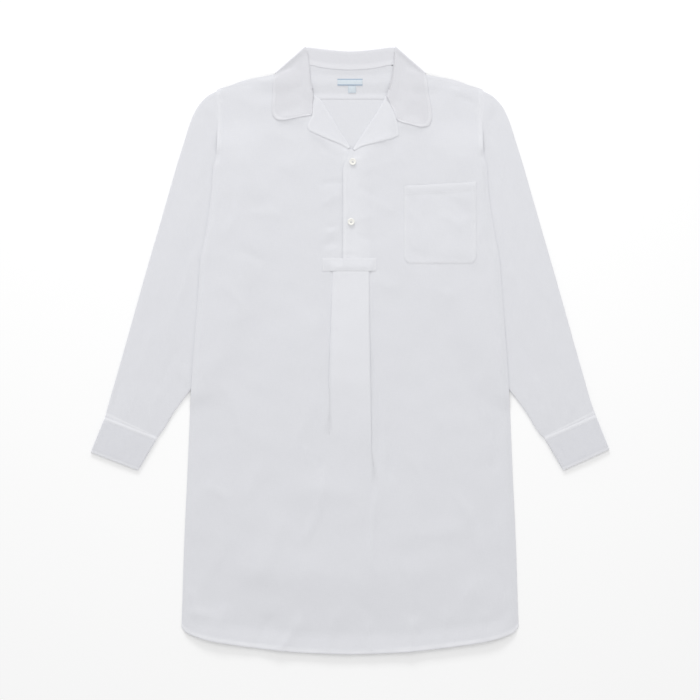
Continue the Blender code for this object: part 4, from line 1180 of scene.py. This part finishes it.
def buildPocket(beneath):
    u = np.concatenate(([0.0, 0.012, 0.028], np.linspace(0.05, 0.95, 27), [0.972, 0.988, 1.0]))
    v = np.concatenate(([0.0, 0.012, 0.03, 0.05], np.linspace(0.075, 0.97, 30), [0.985, 1.0]))
    u, v = np.meshgrid(u, v)
    inset = pocket["corner"] * np.maximum(0.0, 1 - v * (pocket["top"] - pocket["bottom"]) / pocket["corner"])
    x = mix(pocket["left"] + inset, pocket["right"] - inset, u)
    y = mix(pocket["bottom"], pocket["top"] + pocket["topRise"] * u, v)
    fromSide = np.minimum(x - pocket["left"], pocket["right"] - x)
    fromEdge = np.minimum(fromSide, y - pocket["bottom"])
    fromTop = pocket["top"] + pocket["topRise"] * u - y
    thick = pressedEdge(np.minimum(fromEdge, fromTop + 1.0))
    z = topAt(beneath, x, y) + wall["rest"] + thick * wall["cloth"] / 2
    z = z + pocket["puff"] * smooth(np.minimum(u, 1 - u) / 0.2) * smooth(v / 0.2)
    z = z + seamLines(fromEdge, pocket["sideLines"]) + seamLines(fromTop, pocket["hemLines"])
    z = z + creased(x, y, pocket["creases"])
    # Painted highlight, with extra plies, over the pocket, along its edges and over its top hem
    plies = 0.06 + 0.3 * strip(fromEdge, -1.0, 4.0, 3.0) + 0.1 * strip(fromTop, -2.0, 15.0, 3.0)
    bm = bmesh.new()
    addPatch(bm, x, y, z, plies, free=("bottom", "right", "top", "left"), thick=thick)
    return finishCloth(bm, "pocketCloth", cotton, wall["cloth"])


def buildStrip(name, box, beneath, finish):
    # A flat piece with turned edges that lies on what is under it
    u, v = np.meshgrid(np.linspace(0.0, 1.0, box["columns"] + 1), np.linspace(0.0, 1.0, box["rows"] + 1))
    x = mix(box["left"], box["right"], u)
    y = mix(box["bottom"], box["top"], v)
    fromEnds = np.minimum(y - box["bottom"], box["top"] - y)
    fromSides = np.minimum(x - box["left"], box["right"] - x)
    fromEdge = np.minimum(fromSides, fromEnds)
    thick = pressedEdge(fromEdge)
    z = topAt(beneath, x, y, box["reach"])
    z = np.maximum(z, mix(z[:box["rows"] // 2].max(axis=0), z[-1], smooth(v)))
    bulge = box["bulge"] * smooth(v / 0.45) * smooth((0.95 - v) / 0.5) * smooth(fromSides / 12.0)
    z = z + wall["rest"] + thick * box["cloth"] / 2 + bulge + seamLines(fromEdge, [(1.8, 1.4, box["ridge"])])
    border = fromEnds if box["endsOnly"] else fromEdge
    # On the tab this is a painted highlight with extra plies; on the labels it is their blue border
    plies = box["tone"] + box["edgeTone"] * strip(border, *box["edgeStrip"])
    bm = bmesh.new()
    addPatch(bm, x, y, z, plies, free=("bottom", "right", "top", "left"), thick=thick)
    return finishCloth(bm, name, finish, box["cloth"])


pocketCloth = buildPocket(onFront)
tabCloth = buildStrip("tabCloth", tab, onFront, cotton)
onYoke = surfaceOf([yokeCloth])
neckLabel = buildStrip("neckLabel", label, onYoke, labelWeave)
sizeTabCloth = buildStrip("sizeTab", sizeTab, onYoke, labelWeave)
standFor("pocket")
standFor("placket_tab")
standFor("label")
standFor("size_tab")
print("pocket, tab and labels laid")


# Buttons: a turned, dished disc with four holes, sewn on with crossed thread
button = {
    "places": [(5.0, 339.0), (2.0, 231.0)], "radius": 6.2, "height": 2.4, "rim": 1.5, "dish": 0.6,
    "steps": 40, "turned": (45, 12),     # the holes' angle, and how much further each button is turned
    "hole": 0.75, "holeApart": 1.35, "thread": 0.32, "threadApart": 0.308, "threadLift": 0.3,
    "plug": 0.6375, "plugTop": 0.416, "plugHeight": 0.45,
    "pearl": (0.93, 0.92, 0.87), "shade": (0.80, 0.79, 0.75),
}


def buttonMaterial():
    made, tree, shader = newMaterial("shellButton", {"Roughness": 0.22, "Coat Weight": 0.4})
    place = tree.nodes.new("ShaderNodeTexCoord").outputs["Object"]
    noise = addNode(tree, "ShaderNodeTexNoise", {"Scale": 260.0, "Detail": 3.0}, {"Vector": place})
    pearl = addColourMix(tree, noise.outputs["Fac"], button["shade"], button["pearl"])
    tree.links.new(pearl, shader.inputs["Base Color"])
    return made


shellButton = buttonMaterial()


def addRod(bm, matrix, radius, depth, segments, topRadius=None):
    topRadius = radius if topRadius is None else topRadius
    bmesh.ops.create_cone(bm, cap_ends=True, segments=segments, radius1=radius * mm, radius2=topRadius * mm,
                          depth=depth * mm, matrix=matrix)


def shifted(x, y, z):
    return Matrix.Translation(Vector((x, y, z)) * mm)


def holeAngles(number, count):
    return [math.radians(button["turned"][0] + 90 * k + button["turned"][1] * number) for k in range(count)]


def holeSpots(number, z):
    apart = button["holeApart"]
    return [shifted(apart * math.cos(angle), apart * math.sin(angle), z) for angle in holeAngles(number, 4)]


def turnDisc(name, move):
    radius, height = button["radius"], button["height"]
    rim = radius - button["rim"]
    dish = height - button["dish"]
    profile = [(0.0, dish), (rim - 1.0, dish), (rim - 0.2, height - 0.25), (rim + 0.35, height),
               (radius - 0.4, height - 0.15), (radius, height * 0.6), (radius - 0.4, 0.4),
               (radius - 1.2, 0.0), (0.0, 0.0)]
    bm = bmesh.new()
    made = [bm.verts.new((x * mm, 0.0, z * mm)) for x, z in profile]
    edges = [bm.edges.new(pair) for pair in zip(made, made[1:])]
    bmesh.ops.spin(bm, geom=made + edges, cent=(0, 0, 0), axis=(0, 0, 1), angle=2 * math.pi,
                   steps=button["steps"], use_merge=True)
    bmesh.ops.remove_doubles(bm, verts=bm.verts, dist=0.02 * mm)
    bmesh.ops.recalc_face_normals(bm, faces=bm.faces)
    bmesh.ops.transform(bm, matrix=move, verts=bm.verts)
    return addObject(name, bm, shellButton)


def cutHoles(disc, move, number):
    bm = bmesh.new()
    for spot in holeSpots(number, button["height"] / 2):
        addRod(bm, move @ spot, button["hole"], button["height"] * 3, 16)
    holes = addObject("holes", bm, shellButton)
    cut = disc.modifiers.new("holes", "BOOLEAN")
    cut.operation = "DIFFERENCE"
    cut.solver = "EXACT"
    cut.object = holes
    finished = bpy.data.meshes.new_from_object(disc.evaluated_get(bpy.context.evaluated_depsgraph_get()))
    disc.modifiers.clear()
    disc.data = finished
    bpy.data.objects.remove(holes)
    finished.shade_smooth()
    finished.set_sharp_from_angle(angle=math.radians(35))


def sewButton(name, move, number):
    # Two pairs of bars that cross over the dish, and the thread that fills the holes
    dish = button["height"] - button["dish"]
    bm = bmesh.new()
    for k, angle in enumerate(holeAngles(number, 2)):
        turn = Matrix.Rotation(angle, 4, "Z") @ Matrix.Rotation(math.pi / 2, 4, "Y")
        lift = dish + button["threadLift"] * (k + 1)
        for shift in (-button["threadApart"], button["threadApart"]):
            spot = shifted(-math.sin(angle) * shift, math.cos(angle) * shift, lift)
            addRod(bm, move @ spot @ turn, button["thread"], 2 * button["holeApart"], 8)
    filled = dish + button["plugHeight"]
    for spot in holeSpots(number, filled / 2):
        addRod(bm, move @ spot, button["plug"], filled, 10, button["plugTop"])
    return addObject(name, bm, sewingThread)


buttonPieces = []
for number, (x, y) in enumerate(button["places"], start=1):
    below = float(topAt(onFront, np.array([[x]]), np.array([[y]]), 5.0)[0, 0]) + 0.1
    disc = turnDisc("shellButton" + str(number), shifted(x, y, below))
    cutHoles(disc, shifted(x, y, below), number)
    sewn = sewButton("buttonThread" + str(number), shifted(x, y, below), number)
    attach(disc, "root")
    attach(sewn, "root")
    standFor("button_" + str(number))
    buttonPieces += [disc, sewn]
print("buttons sewn on")


# Stitches: one small rounded stitch, set along every sewn line
stitch = {
    "length": 2.3, "apart": 3.3, "radius": 0.3, "flat": 0.8, "sink": 0.1,
    "inArmhole": 4.5, "inShoulder": 12.0, "inPocket": 3.0, "pocketHem": 15.0, "inTab": 2.2,
    "inCollar": 5.0, "collarTo": 492.0, "inLapel": 3.6,
    "inCuff": 0.07, "cuffSeam": 0.13,     # as shares of the way to the cuff's middle
}


def makeStitch():
    bm = bmesh.new()
    addRod(bm, Matrix.Rotation(math.pi / 2, 4, "Y"), stitch["radius"], stitch["length"], 6)
    bmesh.ops.scale(bm, vec=(1.0, 1.0, stitch["flat"]), verts=bm.verts)
    mesh = bpy.data.meshes.new("stitch")
    bm.to_mesh(mesh)
    bm.free()
    return mesh


oneStitch = makeStitch()


def sewLine(bm, points, tree):
    # Stitches along a line of points, each lying on the cloth under it
    points = [Vector(point) for point in points]
    travel = 0.0
    nextAt = stitch["apart"] / 2
    for a, b in zip(points, points[1:]):
        length = (b - a).length
        while nextAt <= travel + length and length > 0:
            spot = a.lerp(b, (nextAt - travel) / length)
            hit, normal = tree.ray_cast(Vector((spot.x * mm, spot.y * mm, 0.1)), down)[:2]
            if hit:
                normal = normal if normal.z > 0 else -normal
                forward = (b - a).normalized().to_3d()
                forward = (forward - normal * forward.dot(normal)).normalized()
                turn = Matrix((forward, normal.cross(forward), normal)).transposed().to_4x4()
                single = oneStitch.copy()
                single.transform(Matrix.Translation(hit - normal * stitch["sink"] * mm) @ turn)
                bm.from_mesh(single)
                bpy.data.meshes.remove(single)
            nextAt += stitch["apart"]
        travel += length


def offsetLine(points, distance):
    # A line beside another, plus to its left
    moved = []
    for i, (x, y) in enumerate(points):
        ahead = Vector(points[min(i + 1, len(points) - 1)]) - Vector(points[max(i - 1, 0)])
        ahead.normalize()
        moved.append((x - ahead.y * distance, y + ahead.x * distance))
    return moved


def curvedLine(points, step=4.0):
    xs, ys = column(points, 0), column(points, 1)
    travel = np.concatenate(([0.0], np.cumsum(np.hypot(np.diff(xs), np.diff(ys)))))
    at = np.linspace(0.0, travel[-1], max(2, round(travel[-1] / step)) + 1)
    return list(zip(curveThrough(travel, xs, at), curveThrough(travel, ys, at)))


def mirrored(line):
    return [(-x, y) for x, y in line]


def sew(name, lines, pieces):
    tree = surfaceOf(pieces)
    bm = bmesh.new()
    for line in lines:
        sewLine(bm, line, tree)
    piece = addObject(name, bm, sewingThread)
    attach(piece, "root")
    return piece


def bodyLines():
    hem = [(x, float(hemHeight(x)) + front["hemWidth"]) for x in np.linspace(-298.0, 298.0, 140)]
    armhole = [(float(halfWidth(y)) - stitch["inArmhole"], y) for y in np.linspace(356.0, 462.0, 30)]
    placket = [(-8.6, y) for y in np.linspace(168.0, 322.0, 30)] + [(-5.5, 337.0), (-1.0, 348.0)]
    shoulder = [(float(halfWidth(y)) - stitch["inShoulder"], y - 3.0) for y in np.linspace(474.0, 494.0, 12)]
    return [hem, placket, armhole, mirrored(armhole), shoulder, mirrored(shoulder)]


def pocketLines():
    inset = stitch["inPocket"]
    left, right = pocket["left"] + inset, pocket["right"] - inset
    bottom, top = pocket["bottom"] + inset, pocket["top"]
    corner = pocket["corner"] - 1
    rise, hem = pocket["topRise"], stitch["pocketHem"]
    outline = [(left, top - 1), (left, bottom + corner), (left + corner, bottom), (right - corner, bottom),
               (right, bottom + corner), (right, top + rise - 1)]
    return [outline, [(left, top - hem), (right, top + rise - hem)]]


def tabLines():
    inset = stitch["inTab"]
    left, right = tab["left"] + inset, tab["right"] - inset
    bottom, top = tab["bottom"] + inset, tab["top"] - inset
    return [[(left, bottom), (right, bottom), (right, top), (left, top), (left, bottom)]]


def collarLines():
    lines = []
    for key in ("right", "left"):
        edge = [row[4:6] for row in collar["front"][key]] + [row[2:4] for row in collar["end"][key]]
        inside = offsetLine(curvedLine(edge), -stitch["inCollar"])
        line = [(x, y) for x, y in inside if y < stitch["collarTo"]]
        lines.append(mirrored(line) if key == "right" else line)
    return lines


def lapelLines():
    edges = {key: curvedLine([row[2:4] for row in lapels[key][3:]]) for key in ("right", "left")}
    return [offsetLine(edges["right"], stitch["inLapel"]), offsetLine(edges["left"], -stitch["inLapel"])]


def cuffLines():
    lines = []
    for key in ("left", "right"):
        seam, edge = cuffs[key]["seam"], cuffs[key]["edge"]
        corners = [Vector(corner) for corner in (seam[0], seam[1], edge[1], edge[0])]
        middle = sum(corners, Vector((0.0, 0.0))) / 4
        inset = [corner.lerp(middle, stitch["inCuff"]) for corner in corners]
        beside = [corner.lerp(middle, stitch["cuffSeam"]) for corner in corners[:2]]
        for line in (inset + inset[:1], beside):
            line = [tuple(point) for point in line]
            lines.append(mirrored(line) if key == "right" else line)
    return lines


stitches = {
    "body": sew("bodyStitches", bodyLines(), [frontCloth]),
    "pocket": sew("pocketStitches", pocketLines(), [pocketCloth]),
    "tab": sew("tabStitches", tabLines(), [tabCloth]),
    "collar": sew("collarStitches", collarLines(), [collarCloth]),
    "lapels": sew("lapelStitches", lapelLines(), [lapelPieces["left"], lapelPieces["right"]]),
    "cuffs": sew("cuffStitches", cuffLines(), [cuffPieces["left"], cuffPieces["right"]]),
}
print("stitches sewn")


# The record of a cloth piece's cut: its width, length and area laid flat, what it lies on, and what is on it
Cut = namedtuple("cut", "piece width length area restsOn withPieces")


# Floor, light and camera
stage = {
    "floorColour": (0.965, 0.965, 0.965, 1.0), "floorSize": 8.0, "floorGap": 0.3,
    "lens": 100.0, "sensor": 36.0, "frameMiddle": (0.0, 0.63), "world": 0.80,
    "lamps": {"lowWindow": {"place": (-0.8, 5.6, 1.9), "size": (3.0, 1.1), "power": 155.0},
              "overhead": {"place": (0.0, 0.9, 1.6), "size": (1.2, 0.8), "power": 4.0}},
}


def layFloor():
    paper = newMaterial("palePaper", {"Base Color": stage["floorColour"], "Roughness": 0.95,
                                      "Specular IOR Level": 0.0})[0]
    bm = bmesh.new()
    bmesh.ops.create_grid(bm, x_segments=8, y_segments=8, size=stage["floorSize"] / 2)
    floor = addObject("floor", bm, paper)
    floor.location = (0.0, 0.0, -stage["floorGap"] * mm)


def lightStudio():
    world = bpy.data.worlds.new("studio")
    world.use_nodes = True
    background = world.node_tree.nodes["Background"]
    background.inputs["Color"].default_value = (1.0, 1.0, 1.0, 1.0)
    background.inputs["Strength"].default_value = stage["world"]
    bpy.context.scene.world = world
    for name, values in stage["lamps"].items():
        light = bpy.data.lights.new(name, "AREA")
        light.shape = "RECTANGLE"
        light.size, light.size_y = values["size"]
        light.energy = values["power"]
        lamp = bpy.data.objects.new(name, light)
        lamp.location = values["place"]
        lamp.rotation_mode = "QUATERNION"
        lamp.rotation_quaternion = (-Vector(values["place"])).to_track_quat("-Z", "Y")
        bpy.context.scene.collection.objects.link(lamp)


def placeCamera():
    # Straight above, so far up that the frame is 700 of the photograph's pixels wide
    camera = bpy.data.cameras.new("above")
    camera.lens = stage["lens"]
    camera.sensor_width = stage["sensor"]
    camera.clip_start = 0.05
    camera.clip_end = 50.0
    distance = 700 * pixel * mm * stage["lens"] / stage["sensor"]
    eye = bpy.data.objects.new("above", camera)
    eye.location = (stage["frameMiddle"][0] * mm, stage["frameMiddle"][1] * mm, distance)
    bpy.context.scene.collection.objects.link(eye)
    bpy.context.scene.camera = eye
    bpy.context.scene.view_settings.view_transform = "Standard"


layFloor()
lightStudio()
placeCamera()
print("stage set")

bpy.context.view_layer.update()
